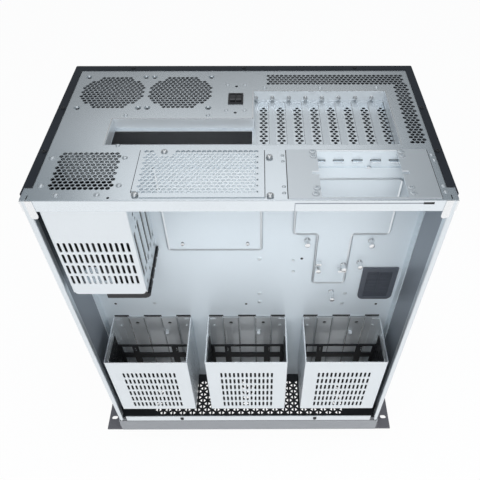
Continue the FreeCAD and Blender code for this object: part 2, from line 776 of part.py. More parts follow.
def front_cage(label, column):
    """A square tube of sheet, open at both ends, with two raised ribs down its back."""
    cage = Piece(label)
    centre = f"({column} * cage_pitch)"
    half = "cage_width / 2"
    face = f"{OPEN} + cage_top_gap"
    low = f"{FRONT} + cage_low"
    high = f"{FRONT} + cage_high"
    cage.pad("XY", low, high,
             box_loop(f"{centre} - {half}", face, f"{centre} + {half}", TRAY),
             box_loop(f"{centre} - {half} + thin_sheet", f"{face} + thin_sheet",
                      f"{centre} + {half} - thin_sheet", f"{TRAY} - thin_sheet"))
    ribs = [box_loop(f"{centre} + {side} * cage_rib_place - cage_rib / 2", f"{TRAY} - thin_sheet - cage_rib_rise",
                     f"{centre} + {side} * cage_rib_place + cage_rib / 2", f"{TRAY} - thin_sheet")
            for side in (-1, 1)]
    cage.pad("XY", low, high, *ribs)
    x = f"({centre} - (cage_slot_columns - 1) / 2 * cage_slot_pitch)"
    z = f"({FRONT} + cage_slot_top - (cage_slot_rows - 1) * cage_row_pitch)"
    slot = box_loop(f"{x} - cage_slot / 2", f"{z} - cage_slot_length", f"{x} + cage_slot / 2", z)
    cage.cut("XZ", face, f"{face} + thin_sheet", slot)
    cage.repeat("cage_slot_columns", "cage_slot_pitch", "cage_slot_rows", "cage_row_pitch")


def drive_frame(label, column):
    """The black ladder frame across a front cage."""
    frame = Piece(label)
    centre = f"({column} * cage_pitch)"
    half = "(cage_width / 2 - thin_sheet - gap)"
    near = f"{OPEN} + frame_level"
    frame.pad("XZ", near, f"{near} + frame_sheet", box_loop(
        f"{centre} - {half}", f"{FRONT} + frame_low", f"{centre} + {half}", f"{FRONT} + frame_high"))
    strap_in = "(frame_strap_place - frame_strap / 2)"
    strap_out = "(frame_strap_place + frame_strap / 2)"
    side = f"({half} - frame_side)"
    columns = ((f"-{side}", f"-{strap_out}"), (f"-{strap_in}", strap_in), (strap_out, side))
    rows = (("frame_low + frame_side", "frame_band_low"), ("frame_band_high", "frame_high - frame_bar"))
    windows = [box_loop(f"{centre} + {a}", f"{FRONT} + {low}", f"{centre} + {b}", f"{FRONT} + {high}")
               for a, b in columns for low, high in rows]
    frame.cut("XZ", near, f"{near} + frame_sheet", *windows)


def rear_cage():
    """The tube behind the square vent, open towards the front, with long slots in both sides."""
    cage = Piece("rear_cage")
    face = f"({NEAR_IN} + sheet + gap)"
    low = f"{FRONT} + rear_cage_low"
    cage.pad("XY", low, PANEL_IN,
             box_loop("rear_cage_left", face, "rear_cage_right", TRAY),
             box_loop("rear_cage_left + thin_sheet", f"{face} + thin_sheet",
                      "rear_cage_right - thin_sheet", f"{TRAY} - thin_sheet"))
    z = f"({FRONT} + rear_slot_top - (rear_slot_rows - 1) * cage_row_pitch)"
    slot = box_loop("rear_slot_first - cage_slot / 2", f"{z} - rear_slot_length",
                    "rear_slot_first + cage_slot / 2", z)
    cage.cut("XZ", face, f"{face} + thin_sheet", slot)
    cage.repeat("cage_slot_columns", "rear_slot_pitch", "rear_slot_rows", "cage_row_pitch")
    pitch = f"(({TRAY} - {face}) / 5)"
    long_slots = [box_loop(f"{face} + {i} * {pitch} - cage_slot / 2", f"{low} + side_slot_low",
                           f"{face} + {i} * {pitch} + cage_slot / 2", f"{PANEL_IN} - rear_rail")
                  for i in (1, 2, 3, 4)]
    cage.cut("YZ", "rear_cage_right - thin_sheet", "rear_cage_right", *long_slots)


def rear_drive_frame():
    """The black skirt that shows below the rear cage's face and right side."""
    skirt = Piece("rear_drive_frame")
    face = f"({NEAR_IN} + sheet + gap + thin_sheet)"
    side = "(rear_cage_right - thin_sheet)"
    low = f"{FRONT} + rear_cage_low - skirt_drop"
    high = f"{FRONT} + rear_cage_low + skirt_lap"
    far = f"({TRAY} - thin_sheet - gap)"
    skirt.pad("XY", low, high, [
        ("skirt_left", face),
        (side, face),
        (side, far),
        (f"{side} - sheet", far),
        (f"{side} - sheet", f"{face} + sheet"),
        ("skirt_left", f"{face} + sheet"),
    ])
    pitch = f"(({far} - {face}) / 4)"
    gaps = [box_loop(f"{face} + {i} * {pitch}", low, f"{face} + {i} * {pitch} + skirt_gap", f"{low} + skirt_drop")
            for i in (1, 2, 3)]
    skirt.cut("YZ", f"{side} - sheet - 1", f"{side} + 1", *gaps)


# ---------------------------------------------------------------- plates, grommet, posts

def psu_blank_plate():
    plate = Piece("psu_blank_plate")
    plate.pad("XY", PANEL_OUT, BACK, box_loop("blank_left", f"{OPEN} + blank_low",
                                              "blank_right", f"{OPEN} + blank_high"))


def psu_mount_plate():
    """The plate round the power supply's window, with a notch in each side of it."""
    plate = Piece("psu_mount_plate")
    plate.pad("XY", PANEL_OUT, BACK, box_loop("plate_left", f"{OPEN} + plate_low",
                                              "plate_right", f"{OPEN} + plate_high"))
    middle = f"{OPEN} + (plate_low + plate_high) / 2"
    low = f"{OPEN} + plate_low + window_rim"
    high = f"{OPEN} + plate_high - window_rim"
    notch_low = f"{middle} - notch_width / 2"
    notch_high = f"{middle} + notch_width / 2"
    plate.cut("XY", PANEL_OUT, BACK, [
        ("window_left", low),
        ("window_right", low),
        ("window_right", notch_low),
        ("window_right + window_notch", notch_low),
        ("window_right + window_notch", notch_high),
        ("window_right", notch_high),
        ("window_right", high),
        ("window_left", high),
        ("window_left", notch_high),
        ("window_left - window_notch", notch_high),
        ("window_left - window_notch", notch_low),
        ("window_left", notch_low),
    ])


def grommet_loop(inset):
    return box_loop(f"grommet_left + {inset}", f"{FRONT} + grommet_low + {inset}",
                    f"grommet_right - {inset}", f"{FRONT} + grommet_high - {inset}")


def cable_grommet():
    """A rim on the tray's open side with a neck through the cable opening."""
    grommet = Piece("cable_grommet")
    bore = "(grommet_rim + gap + grommet_wall)"
    grommet.pad("XZ", f"{TRAY} - grommet_rise", TRAY, grommet_loop("0"), grommet_loop(bore))
    grommet.pad("XZ", TRAY, f"{TRAY_FAR} + grommet_rise", grommet_loop("(grommet_rim + gap)"), grommet_loop(bore))
    low = f"{FRONT} + grommet_low"
    grommet.fillet("grommet_corner", "Y", ("grommet_left", low), ("grommet_right", low))


def tray_posts():
    """Posts for a riser board on the tray's open side."""
    places = [(79.9, 132.9, False), (161.2, 134.3, False), (97.0, 179.6, True), (131.0, 176.7, True),
              (152.1, 173.6, False)]
    out = Vector(0, -1, 0)
    face = number(TRAY)
    rear = number(PANEL_OUT)
    raised = number(f"{TRAY} - platform_rise")
    solids = []
    for x, z, on_field in places:
        foot = Vector(x, raised if on_field else face, rear - z)
        solids.append(hex_prism(foot, out, SIZES["post_r"], SIZES["post_height"]))
    solids.append(hex_prism(Vector(120.5, face, rear - 233.1), out, SIZES["post_r"], SIZES["tall_post"]))
    group_of("tray_posts", solids)


def hex_prism(centre, direction, radius, height):
    """A hexagonal prism along Y, its flats at the given radius."""
    corner = radius / math.cos(math.pi / 6)
    points = [centre + Vector(corner * math.cos(math.pi * k / 3), 0, corner * math.sin(math.pi * k / 3))
              for k in range(7)]
    return Part.Face(Part.makePolygon(points)).extrude(direction * height)


def motherboard_standoffs():
    """Nine tapped hexagonal standoffs in the pattern of a full-size board."""
    columns = [number(text) for text in ("board_left", "board_left + board_column_2", "board_left + board_column_3")]
    rear = number(f"{PANEL_OUT} - board_rear")
    rows = [rear, rear - SIZES["board_row_2"], rear - SIZES["board_row_3"]]
    far = Vector(0, 1, 0)
    foot = number(TRAY_FAR)
    height = SIZES["standoff_height"]
    depth = SIZES["standoff_bore_depth"]
    solids = []
    for x in columns:
        for z in rows:
            post = hex_prism(Vector(x, foot, z), far, SIZES["standoff_r"], height)
            bore = Part.makeCylinder(SIZES["standoff_bore"], depth, Vector(x, foot + height - depth, z), far)
            solids.append(post.cut(bore))
    group_of("motherboard_standoffs", solids)


# ---------------------------------------------------------------- double rocker switch

def switch_cell(side):
    """One of the two cells of the switch frame."""
    wide = "((switch_width - 2 * switch_flange - 3 * switch_wall - 2 * gap) / 2)"
    inner = "(switch_wall / 2)"
    tall = "(switch_height / 2 - switch_flange - gap - switch_wall)"
    middle = f"({OPEN} + switch_level)"
    return box_loop(f"switch_place + {side} * {inner}", f"{middle} - {tall}",
                    f"switch_place + {side} * ({inner} + {wide})", f"{middle} + {tall}")


def switch_frame():
    frame = Piece("switch_frame")
    middle = f"({OPEN} + switch_level)"
    face = f"({PANEL_OUT} + switch_rise)"
    half_x = "switch_width / 2"
    half_y = "switch_height / 2"
    frame.pad("XY", PANEL_OUT, face, box_loop(f"switch_place - {half_x}", f"{middle} - {half_y}",
                                              f"switch_place + {half_x}", f"{middle} + {half_y}"))
    inset = "(switch_flange + gap)"
    frame.pad("XY", f"{PANEL_OUT} - switch_depth", PANEL_OUT, box_loop(
        f"switch_place - {half_x} + {inset}", f"{middle} - {half_y} + {inset}",
        f"switch_place + {half_x} - {inset}", f"{middle} + {half_y} - {inset}"))
    frame.cut("XY", f"{PANEL_OUT} - switch_depth + 2", face, switch_cell(-1), switch_cell(1))
    wide = "((switch_width - 2 * switch_flange - 3 * switch_wall - 2 * gap) / 2)"
    pivot = f"({face} - rocker_pivot)"
    for side in (-1, 1):
        centre = f"switch_place + {side} * (switch_wall / 2 + {wide} / 2)"
        frame.cut("YZ", f"{centre} - {wide} / 2 - pivot_reach - pivot_fit",
                  f"{centre} + {wide} / 2 + pivot_reach + pivot_fit",
                  disc(middle, pivot, "pivot_r + pivot_fit"))
    return frame


def rocker(label, side):
    """A rocker with a shallow V on its face and a pivot stub on each side."""
    key = Piece(label)
    wide = "((switch_width - 2 * switch_flange - 3 * switch_wall - 2 * gap) / 2)"
    half = f"({wide} / 2 - rocker_gap)"
    end = "(rocker_length / 2)"
    key.pad("YZ", f"-{half}", half, [
        (f"-{end}", "rocker_end"),
        (f"-{end}", "-rocker_skirt"),
        ("0", "-rocker_belly"),
        (end, "-rocker_skirt"),
        (end, "rocker_end"),
        ("0", "rocker_valley"),
    ])
    stub = f"({half} + rocker_gap + pivot_reach)"
    key.pad("YZ", f"-{stub}", stub, disc("0", "0", "pivot_r"))
    centre = f"switch_place + {side} * (switch_wall / 2 + {wide} / 2)"
    key.body.Placement = Placement(Vector(), Rotation(Vector(-1, 0, 0), number("rocker_tilt")))
    key.body.setExpression("Placement.Rotation.Angle", bound("rocker_tilt"))
    key.body.setExpression("Placement.Base.x", bound(centre))
    key.body.setExpression("Placement.Base.y", bound(f"{OPEN} + switch_level"))
    key.body.setExpression("Placement.Base.z", bound(f"{PANEL_OUT} + switch_rise - rocker_pivot"))
    doc.recompute()


# ---------------------------------------------------------------- the case

side_wall("side_wall_left", -1)
side_wall("side_wall_right", 1)
rear_panel()
recess_frame()
for slot in range(int(number("slot_count"))):
    slot_cover(slot)
motherboard_tray()
top_cover()
front_plate()
front_cross_rail()
front_bezel()
rack_ear("rack_ear_left", -1)
rack_ear("rack_ear_right", 1)
handle("handle_left", -1)
handle("handle_right", 1)
for place, column in (("left", -1), ("centre", 0), ("right", 1)):
    front_cage(f"front_cage_{place}", column)
    drive_frame(f"drive_frame_{place}", column)
rear_cage()
rear_drive_frame()
psu_blank_plate()
psu_mount_plate()
cable_grommet()
tray_posts()
motherboard_standoffs()
switch_frame()
rocker("rocker_left", -1)
rocker("rocker_right", 1)

doc.recompute()
for item in doc.Objects:
    if "Invalid" in item.State or "Error" in item.State:
        raise RuntimeError(f"{item.Label} did not rebuild: {item.State}")
for node in nodes:
    if node.Shape.isNull() or not node.Shape.isValid():
        raise RuntimeError(f"{node.Label} has no valid shape")

os.makedirs("parts", exist_ok=True)
for node in nodes:
    node.Shape.exportStep(f"parts/{node.Label}.step")
    box = node.Shape.BoundBox
    print(f"{node.Label:24s} solids {len(node.Shape.Solids)} volume {node.Shape.Volume:12.1f}",
          f"x {box.XMin:7.1f} {box.XMax:7.1f} y {box.YMin:7.1f} {box.YMax:7.1f} z {box.ZMin:6.1f} {box.ZMax:6.1f}")
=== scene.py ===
import math

import bmesh
import bpy
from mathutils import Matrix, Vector
from mathutils.geometry import delaunay_2d_cdt


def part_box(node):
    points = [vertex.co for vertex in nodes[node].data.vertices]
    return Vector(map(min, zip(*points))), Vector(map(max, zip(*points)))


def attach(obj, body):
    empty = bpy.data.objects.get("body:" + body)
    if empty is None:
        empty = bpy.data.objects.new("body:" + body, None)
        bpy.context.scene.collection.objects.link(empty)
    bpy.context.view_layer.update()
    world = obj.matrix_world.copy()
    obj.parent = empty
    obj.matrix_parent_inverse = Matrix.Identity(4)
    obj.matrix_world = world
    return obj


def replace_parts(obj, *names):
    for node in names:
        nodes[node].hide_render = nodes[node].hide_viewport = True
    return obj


# Empty 6U rackmount server case, standing on its front with its open side towards -Y.
# Sizes and places of the object are in millimetres, in the CAD's own frame.

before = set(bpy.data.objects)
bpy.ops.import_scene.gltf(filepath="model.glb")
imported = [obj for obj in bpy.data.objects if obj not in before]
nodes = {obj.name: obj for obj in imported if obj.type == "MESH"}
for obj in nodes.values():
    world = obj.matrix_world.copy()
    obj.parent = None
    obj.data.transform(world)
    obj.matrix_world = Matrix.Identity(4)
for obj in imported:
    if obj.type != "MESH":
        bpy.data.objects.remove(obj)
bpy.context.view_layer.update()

MM = 0.001
ROW = math.sqrt(3) / 2       # distance between staggered rows, as a share of the pitch along a row
SIDES = (-1, 1)


# ---------------------------------------------------------------- materials

def add_node(tree, kind, settings=None, **values):
    """A new shader node: its settings, and values for inputs, whose names have _ for a space."""
    node = tree.nodes.new("ShaderNode" + kind)
    for name, value in (settings or {}).items():
        setattr(node, name, value)
    for name, value in values.items():
        node.inputs[name.replace("_", " ")].default_value = value
    return node


def math_node(tree, operation, *sources):
    """The output of a Math node that is fed by sockets or by plain numbers."""
    node = add_node(tree, "Math", {"operation": operation})
    for place, source in zip(node.inputs, sources):
        if isinstance(source, float):
            place.default_value = source
        else:
            tree.links.new(source, place)
    return node.outputs[0]


def material(name, color, rough, metallic=0.0, grain=0.0, grain_size=900.0, bump=0.0, patch=0.0):
    """Principled surface whose colour and roughness vary in fine grain and in wide soft patches."""
    mat = bpy.data.materials.new(name)
    mat.use_nodes = True
    tree = mat.node_tree
    link = tree.links.new
    shader = tree.nodes["Principled BSDF"]
    shader.inputs["Metallic"].default_value = metallic
    place = add_node(tree, "TexCoord")
    fine = add_node(tree, "TexNoise", Scale=grain_size, Detail=3.0)
    wide = add_node(tree, "TexNoise", Scale=9.0, Detail=2.0)
    link(place.outputs["Object"], fine.inputs["Vector"])
    link(place.outputs["Object"], wide.inputs["Vector"])
    mixed = add_node(tree, "Mix", {"data_type": "FLOAT"}, Factor=patch)
    link(fine.outputs["Fac"], mixed.inputs["A"])
    link(wide.outputs["Fac"], mixed.inputs["B"])
    tones = add_node(tree, "ValToRGB")
    dark, pale = tones.color_ramp.elements
    dark.position = 0.3
    pale.position = 0.7
    dark.color = [c * (1 - grain) for c in color] + [1]
    pale.color = [min(1, c * (1 + grain)) for c in color] + [1]
    link(mixed.outputs["Result"], tones.inputs["Fac"])
    link(tones.outputs["Color"], shader.inputs["Base Color"])
    polish = add_node(tree, "MapRange", To_Min=rough * 0.85, To_Max=min(1, rough * 1.15))
    link(mixed.outputs["Result"], polish.inputs["Value"])
    link(polish.outputs["Result"], shader.inputs["Roughness"])
    if bump:
        relief = add_node(tree, "Bump", Strength=bump, Distance=0.0002)
        link(fine.outputs["Fac"], relief.inputs["Height"])
        link(relief.outputs["Normal"], shader.inputs["Normal"])
    return mat


def shade_walls_by_facing(mat, on_walls, on_levels):
    """Painted light and shade by facing: makes a metal less metallic on its upright walls than on its level
    faces, so walls and floor of one sheet show different brightness.
    """
    tree = mat.node_tree
    parts = add_node(tree, "SeparateXYZ")
    tree.links.new(add_node(tree, "NewGeometry").outputs["Normal"], parts.inputs[0])
    share = add_node(tree, "MapRange", To_Min=on_walls, To_Max=on_levels)
    tree.links.new(math_node(tree, "ABSOLUTE", parts.outputs["Z"]), share.inputs["Value"])
    tree.links.new(share.outputs["Result"], tree.nodes["Principled BSDF"].inputs["Metallic"])


# zinc-plated and plain steel; a darkened zinc paints shade, and the bright steel also paints highlights
ZINC = material("zinc", (0.77, 0.815, 0.85), 0.36, metallic=0.88, grain=0.025, patch=0.6, bump=0.01)
PANEL = material("zinc_panel", (0.77, 0.82, 0.86), 0.23, metallic=0.9, grain=0.03, grain_size=220, patch=0.75)
TRAY_ZINC = material("zinc_tray", (0.71, 0.78, 0.83), 0.5, metallic=0.3, grain=0.025, patch=0.6, bump=0.01)
CAGE_ZINC = material("zinc_cage", (0.76, 0.80, 0.83), 0.42, metallic=0.7, grain=0.025, patch=0.6, bump=0.01)
# Darkened zinc: painted shade on the side walls' inner faces and in the groove on the near rail
SHADED_ZINC = material("zinc_painted_shade", (0.30, 0.33, 0.37), 0.45, metallic=0.5, grain=0.04, patch=0.8, bump=0.006)
RECESS = material("zinc_recess", (0.77, 0.82, 0.86), 0.34, grain=0.015, patch=0.8)
# The recess's upright walls get painted light and shade by facing
shade_walls_by_facing(RECESS, 0.45, 0.92)
# Bright steel for screws, posts, tabs and rivets; also the painted highlights along the cage and recess edges
BRIGHT_STEEL_AND_HIGHLIGHT = material("bright_steel_and_painted_highlight", (0.86, 0.87, 0.88), 0.24, metallic=0.9, grain=0.03)
# paint; the black and the grey bezel paint also serve as painted shade
COVER = material("cover_paint", (0.012, 0.015, 0.020), 0.58, grain=0.35, grain_size=700, bump=0.35, patch=0.4)
COVER.node_tree.nodes["Principled BSDF"].inputs["Specular IOR Level"].default_value = 0.32
# Black paint, also used for painted shade in gaps, seams and holes
BLACK_PAINT_AND_SHADE = material("black_paint", (0.010, 0.011, 0.013), 0.5, grain=0.12)
# Grey bezel paint, also used for the painted shadow lines beside the slot covers
BEZEL_GREY_AND_SHADE = material("bezel_paint", (0.30, 0.31, 0.33), 0.5, grain=0.04, grain_size=1400, bump=0.1)
EAR = material("ear_paint", (0.12, 0.12, 0.135), 0.5, grain=0.06, bump=0.1)
# small parts
ANODISED = material("anodised", (0.30, 0.30, 0.31), 0.4, metallic=0.8, grain=0.05)
GROMMET = material("grommet_plastic", (0.075, 0.085, 0.105), 0.5, grain=0.08, bump=0.15)
BRASS = material("brass", (0.62, 0.45, 0.18), 0.3, metallic=1.0, grain=0.04)
SWITCH = material("switch_plastic", (0.012, 0.012, 0.014), 0.3, grain=0.05)

FINISH = {
    "top_cover": COVER,
    "front_plate": BLACK_PAINT_AND_SHADE,
    "front_bezel": BEZEL_GREY_AND_SHADE,
    "rack_ear_left": EAR,
    "rack_ear_right": EAR,
    "handle_left": ANODISED,
    "handle_right": ANODISED,
    "drive_frame_left": BLACK_PAINT_AND_SHADE,
    "drive_frame_centre": BLACK_PAINT_AND_SHADE,
    "drive_frame_right": BLACK_PAINT_AND_SHADE,
    "rear_drive_frame": BLACK_PAINT_AND_SHADE,
    "cable_grommet": GROMMET,
    "motherboard_standoffs": BRASS,
    "tray_posts": BRIGHT_STEEL_AND_HIGHLIGHT,
    "switch_frame": SWITCH,
    "rocker_left": SWITCH,
    "rocker_right": SWITCH,
    "recess_frame": RECESS,
    "motherboard_tray": TRAY_ZINC,
}


def dress(obj, mat):
    obj.data.materials.clear()
    obj.data.materials.append(mat)


for node, obj in nodes.items():
    dress(obj, FINISH.get(node, ZINC))


# ---------------------------------------------------------------- shapes: each gives (vertices, faces)

def to_world(axis, u, v, w):
    """The point (u, v) of a plane across the axis, at level w along it."""
    point = {"Z": (u, v, w), "Y": (u, w, v), "X": (w, u, v)}[axis]
    return Vector(point) * MM


def plate(axis, low, high, outer, holes=()):
    """A flat sheet with holes, between two levels on an axis."""
    flat, polygons = [], []
    for loop in (outer, *holes):
        if sum(p[0] * q[1] - q[0] * p[1] for p, q in zip(loop, loop[1:] + loop[:1])) < 0:
            loop = loop[::-1]
        polygons.append(list(range(len(flat), len(flat) + len(loop))))
        flat.extend(Vector(p) for p in loop)
    out = delaunay_2d_cdt(flat, [], polygons, 1, 1e-5)
    points, triangles, origin = out[0], out[2], out[5]
    kept = [tri for tri, owners in zip(triangles, origin) if 0 in owners and not any(k > 0 for k in owners)]
    count = len(points)
    verts = [to_world(axis, p[0], p[1], level) for level in (low, high) for p in points]
    faces = [tuple(tri) for tri in kept]
    faces += [tuple(count + i for i in reversed(tri)) for tri in kept]
    rim = {}
    for tri in kept:
        for a, b in zip(tri, tri[1:] + tri[:1]):
            key = (min(a, b), max(a, b))
            rim[key] = None if key in rim else (a, b)
    faces += [(b, a, a + count, b + count) for a, b in filter(None, rim.values())]
    return verts, faces


def box(x, y, z):
    """A block given by its three ranges."""
    verts = [Vector((a, b, c)) * MM for a in x for b in y for c in z]
    faces = [(0, 1, 3, 2), (4, 6, 7, 5), (0, 4, 5, 1), (2, 3, 7, 6), (0, 2, 6, 4), (1, 5, 7, 3)]
    return verts, faces


def prism(axis, profile, low, high):
    """A closed profile drawn out between two levels on an axis."""
    n = len(profile)
    verts = [to_world(axis, u, v, w) for w in (low, high) for u, v in profile]
    faces = [tuple(range(n)), tuple(range(2 * n - 1, n - 1, -1))]
    faces += [(i, (i + 1) % n, n + (i + 1) % n, n + i) for i in range(n)]
    return verts, faces


def turned(profile, centre, axis="Z", steps=16, flip=1):
    """A (radius, height) profile turned about an axis through the centre; height runs along flip."""
    verts, faces = [], []
    n = len(profile)
    for k in range(steps):
        t = 2 * math.pi * k / steps
        for r, h in profile:
            verts.append(Vector(centre) * MM + to_world(axis, r * math.cos(t), r * math.sin(t), h * flip))
    for k in range(steps):
        a, b = k * n, (k + 1) % steps * n
        faces += [(a + i, a + i + 1, b + i + 1, b + i) for i in range(n - 1)]
    return verts, faces


def screw(x, y, z, radius, axis="Z", flip=1):
    """A domed head with a rim and a recess for the driver."""
    dome = [(radius, 0), (radius, 0.9), (radius * 0.85, 1.5), (radius * 0.45, 1.9)]
    recess = [(0.9, 1.95), (0.7, 1.2), (0, 1.1)]
    return turned(dome + recess, (x, y, z), axis, 20, flip)


def rivet(x, y, z, radius, height, axis="Z", flip=1):
    """A plain dome."""
    dome = [(radius * u, height * v) for u, v in arc(0, 0, 1, 0, 90, 5)]
    return turned(dome, (x, y, z), axis, 16, flip)


def fold(x, y, out_x, out_y, low, high, radius):
    """The rounded fold between two walls of a cage, whose outer corner would be at (x, y)."""
    cx, cy = x - out_x * radius, y - out_y * radius
    section = arc(0, 0, radius, 0, 90, 5) + arc(0, 0, radius - CAGE_SHEET, 90, 0, 5)
    return prism("Z", [(cx + out_x * u, cy + out_y * v) for u, v in section], low, high)


def strip(line, section, level):
    """A strip along a line of (x, z) points on a wall; its section is (offset to the right, height) pairs."""
    points = [Vector(p) for p in line]
    last = len(points) - 1
    n = len(section)
    verts, faces = [], []
    for i, point in enumerate(points):
        back = (points[max(i, 1)] - points[max(i, 1) - 1]).normalized()
        ahead = (points[min(i, last - 1) + 1] - points[min(i, last - 1)]).normalized()
        mean = (back + ahead).normalized()
        right = Vector((mean.y, -mean.x)) / max(0.4, mean.dot(ahead))
        for offset, height in section:
            spot = point + right * offset
            verts.append(Vector((spot.x, level - height, spot.y)) * MM)
    for a in range(0, last * n, n):
        faces += [(a + k, a + k + 1, a + n + k + 1, a + n + k) for k in range(n - 1)]
    return verts, faces


# ---------------------------------------------------------------- outlines: each gives flat points

def rect(x0, y0, x1, y1):
    return [(x0, y0), (x1, y0), (x1, y1), (x0, y1)]


def arc(cx, cy, radius, start, end, steps=6):
    """Points from a start angle to an end angle, both in degrees."""
    turns = [math.radians(start + (end - start) * k / steps) for k in range(steps + 1)]
    return [(cx + radius * math.cos(t), cy + radius * math.sin(t)) for t in turns]


def polygon(x, y, radius, sides, turn=0.0):
    steps = [turn + 2 * math.pi * k / sides for k in range(sides)]
    return [(x + radius * math.cos(t), y + radius * math.sin(t)) for t in steps]


def slot(x, y, width, height):
    """A slot with eased corners."""
    a, b, r = width / 2, height / 2, min(width, height) * 0.3
    return [(x + a, y - b + r), (x + a, y + b - r), (x + a - r, y + b), (x - a + r, y + b),
            (x - a, y + b - r), (x - a, y - b + r), (x - a + r, y - b), (x + a - r, y - b)]


def vent(x, y, size=4.6):
    """A hexagonal hole, point up, size across its flats."""
    return polygon(x, y, size / math.sqrt(3), 6, math.pi / 6)


def triangle(a, b, c, inset):
    """A triangular hole, each side moved in by the same distance."""
    corners = [Vector(a), Vector(b), Vector(c)]
    sides = [(corners[(i + 2) % 3] - corners[(i + 1) % 3]).length for i in range(3)]
    centre = sum((corners[i] * sides[i] for i in range(3)), Vector((0, 0))) / sum(sides)
    area = abs((corners[1] - corners[0]).cross(corners[2] - corners[0])) / 2
    scale = 1 - inset / (2 * area / sum(sides))
    return [tuple(centre + (corner - centre) * scale) for corner in corners]


def eased(line, radius, steps=5):
    """The same open line with each inner corner rounded."""
    points = [Vector(p) for p in line]
    out = [points[0]]
    for a, b, c in zip(points, points[1:], points[2:]):
        start, end = b + (a - b).normalized() * radius, b + (c - b).normalized() * radius
        for k in range(steps + 1):
            t = k / steps
            out.append(start * (1 - t) ** 2 + b * 2 * t * (1 - t) + end * t ** 2)
    return out + [points[-1]]


def lattice(x0, y0, columns, rows, first_short=False):
    """Centres of staggered vents, with each second row one hole shorter."""
    for row in range(rows):
        odd = (row + first_short) % 2
        for column in range(columns - odd):
            yield x0 + (column + odd / 2) * PITCH, y0 + row * PITCH * ROW


# ---------------------------------------------------------------- pieces

def piece(name, parts, mat, smooth=False):
    """An object joined from its parts' vertices and faces, which rides on the case."""
    verts, faces = [], []
    for part_verts, part_faces in parts:
        start = len(verts)
        verts += part_verts
        faces += [tuple(start + i for i in face) for face in part_faces]
    mesh = bpy.data.meshes.new(name)
    mesh.from_pydata(verts, [], faces)
    fix = bmesh.new()
    fix.from_mesh(mesh)
    bmesh.ops.remove_doubles(fix, verts=fix.verts, dist=1e-7)
    bmesh.ops.recalc_face_normals(fix, faces=fix.faces)
    fix.to_mesh(mesh)
    fix.free()
    obj = bpy.data.objects.new(name, mesh)
    bpy.context.collection.objects.link(obj)
    dress(obj, mat)
    if smooth:
        for face in mesh.polygons:
            face.use_smooth = True
        mesh.set_sharp_from_angle(angle=math.radians(35))
    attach(obj, "case")
    return obj


# ---------------------------------------------------------------- levels, from the CAD nodes

def low(node):
    return [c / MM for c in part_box(node)[0]]


def high(node):
    return [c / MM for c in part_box(node)[1]]


OPEN = low("side_wall_left")[1]              # the open side
OUTSIDE = high("side_wall_right")[0]         # outer face of a side wall, from the middle
WALL = high("rear_panel")[0]                 # inner face of a side wall
NEAR = low("rear_panel")[1]                  # rail of the rear panel at the open side
FAR = high("rear_panel")[1]
PANEL_OUT = high("rear_panel")[2]
BACK = high("top_cover")[2]                  # outer face of what lies on the rear panel
TRAY = high("front_cage_left")[1]            # the tray's side towards the cages
FRONT = low("front_bezel")[2]
BEZEL_TOP = high("front_bezel")[2]

SHEET = 1.2
CAGE_SHEET = 1.0
PITCH = 5.55                                 # of the small hexagonal vents


# ---------------------------------------------------------------- rear panel

FANS = [(-158.2, OPEN + 203.5), (-76.2, OPEN + 203.5)]
FAN_HOLES = 71.5                             # between the screws of a fan
FAN_ROWS = (14, 13, 14, 13, 12, 11, 8, 7)    # vents in each row of a grille, from its middle outwards
SQUARE_VENTS = -189.6, OPEN + 20, 12, 13     # the first vent's place, columns and rows
BAND_VENTS = 31.0, OPEN + 223, 31, 5
LEG_VENTS = 3, 26                            # columns and rows below the band's right end
SWITCH_SCREWS = ((-8.4, OPEN + 157.3), (-8.4, OPEN + 216.5))
COVER_SCREW = -128.5, OPEN + 5.2
STEP_X = 12.3                                # where the recess gets taller for the card slots
IO_TOP = TRAY + 61.5                         # top of the recess beside that step
RECESS_FLANGE = 6.0
RECESS_X = low("recess_frame")[0] + RECESS_FLANGE, high("recess_frame")[0] - RECESS_FLANGE
RECESS_Y = low("recess_frame")[1] + RECESS_FLANGE, high("recess_frame")[1] - RECESS_FLANGE


def fan_grille(x, y):
    """Rows of vents that fill a round field."""
    last = len(FAN_ROWS) - 1
    holes = []
    for row in range(-last, last + 1):
        count = FAN_ROWS[abs(row)]
        holes += [vent(x + (k - (count - 1) / 2) * PITCH, y + row * PITCH * ROW) for k in range(count)]
    return holes


def corner_vents():
    """A band of vents along the cover, whose right end turns down into a leg."""
    x, y, columns, _ = BAND_VENTS
    leg_columns, leg_rows = LEG_VENTS
    holes = [vent(u, v) for u, v in lattice(*BAND_VENTS)]
    for row in range(1, leg_rows + 1):
        indent = columns - leg_columns + row % 2 / 2
        holes += [vent(x + (indent + k) * PITCH, y - row * PITCH * ROW) for k in range(leg_columns)]
    return holes


def opening(node, left, lower, right, upper):
    """A rectangular hole inside a node's outline, by its distances from the four sides."""
    (x0, y0, _), (x1, y1, _) = low(node), high(node)
    return rect(x0 + left, y0 + lower, x1 - right, y1 - upper)


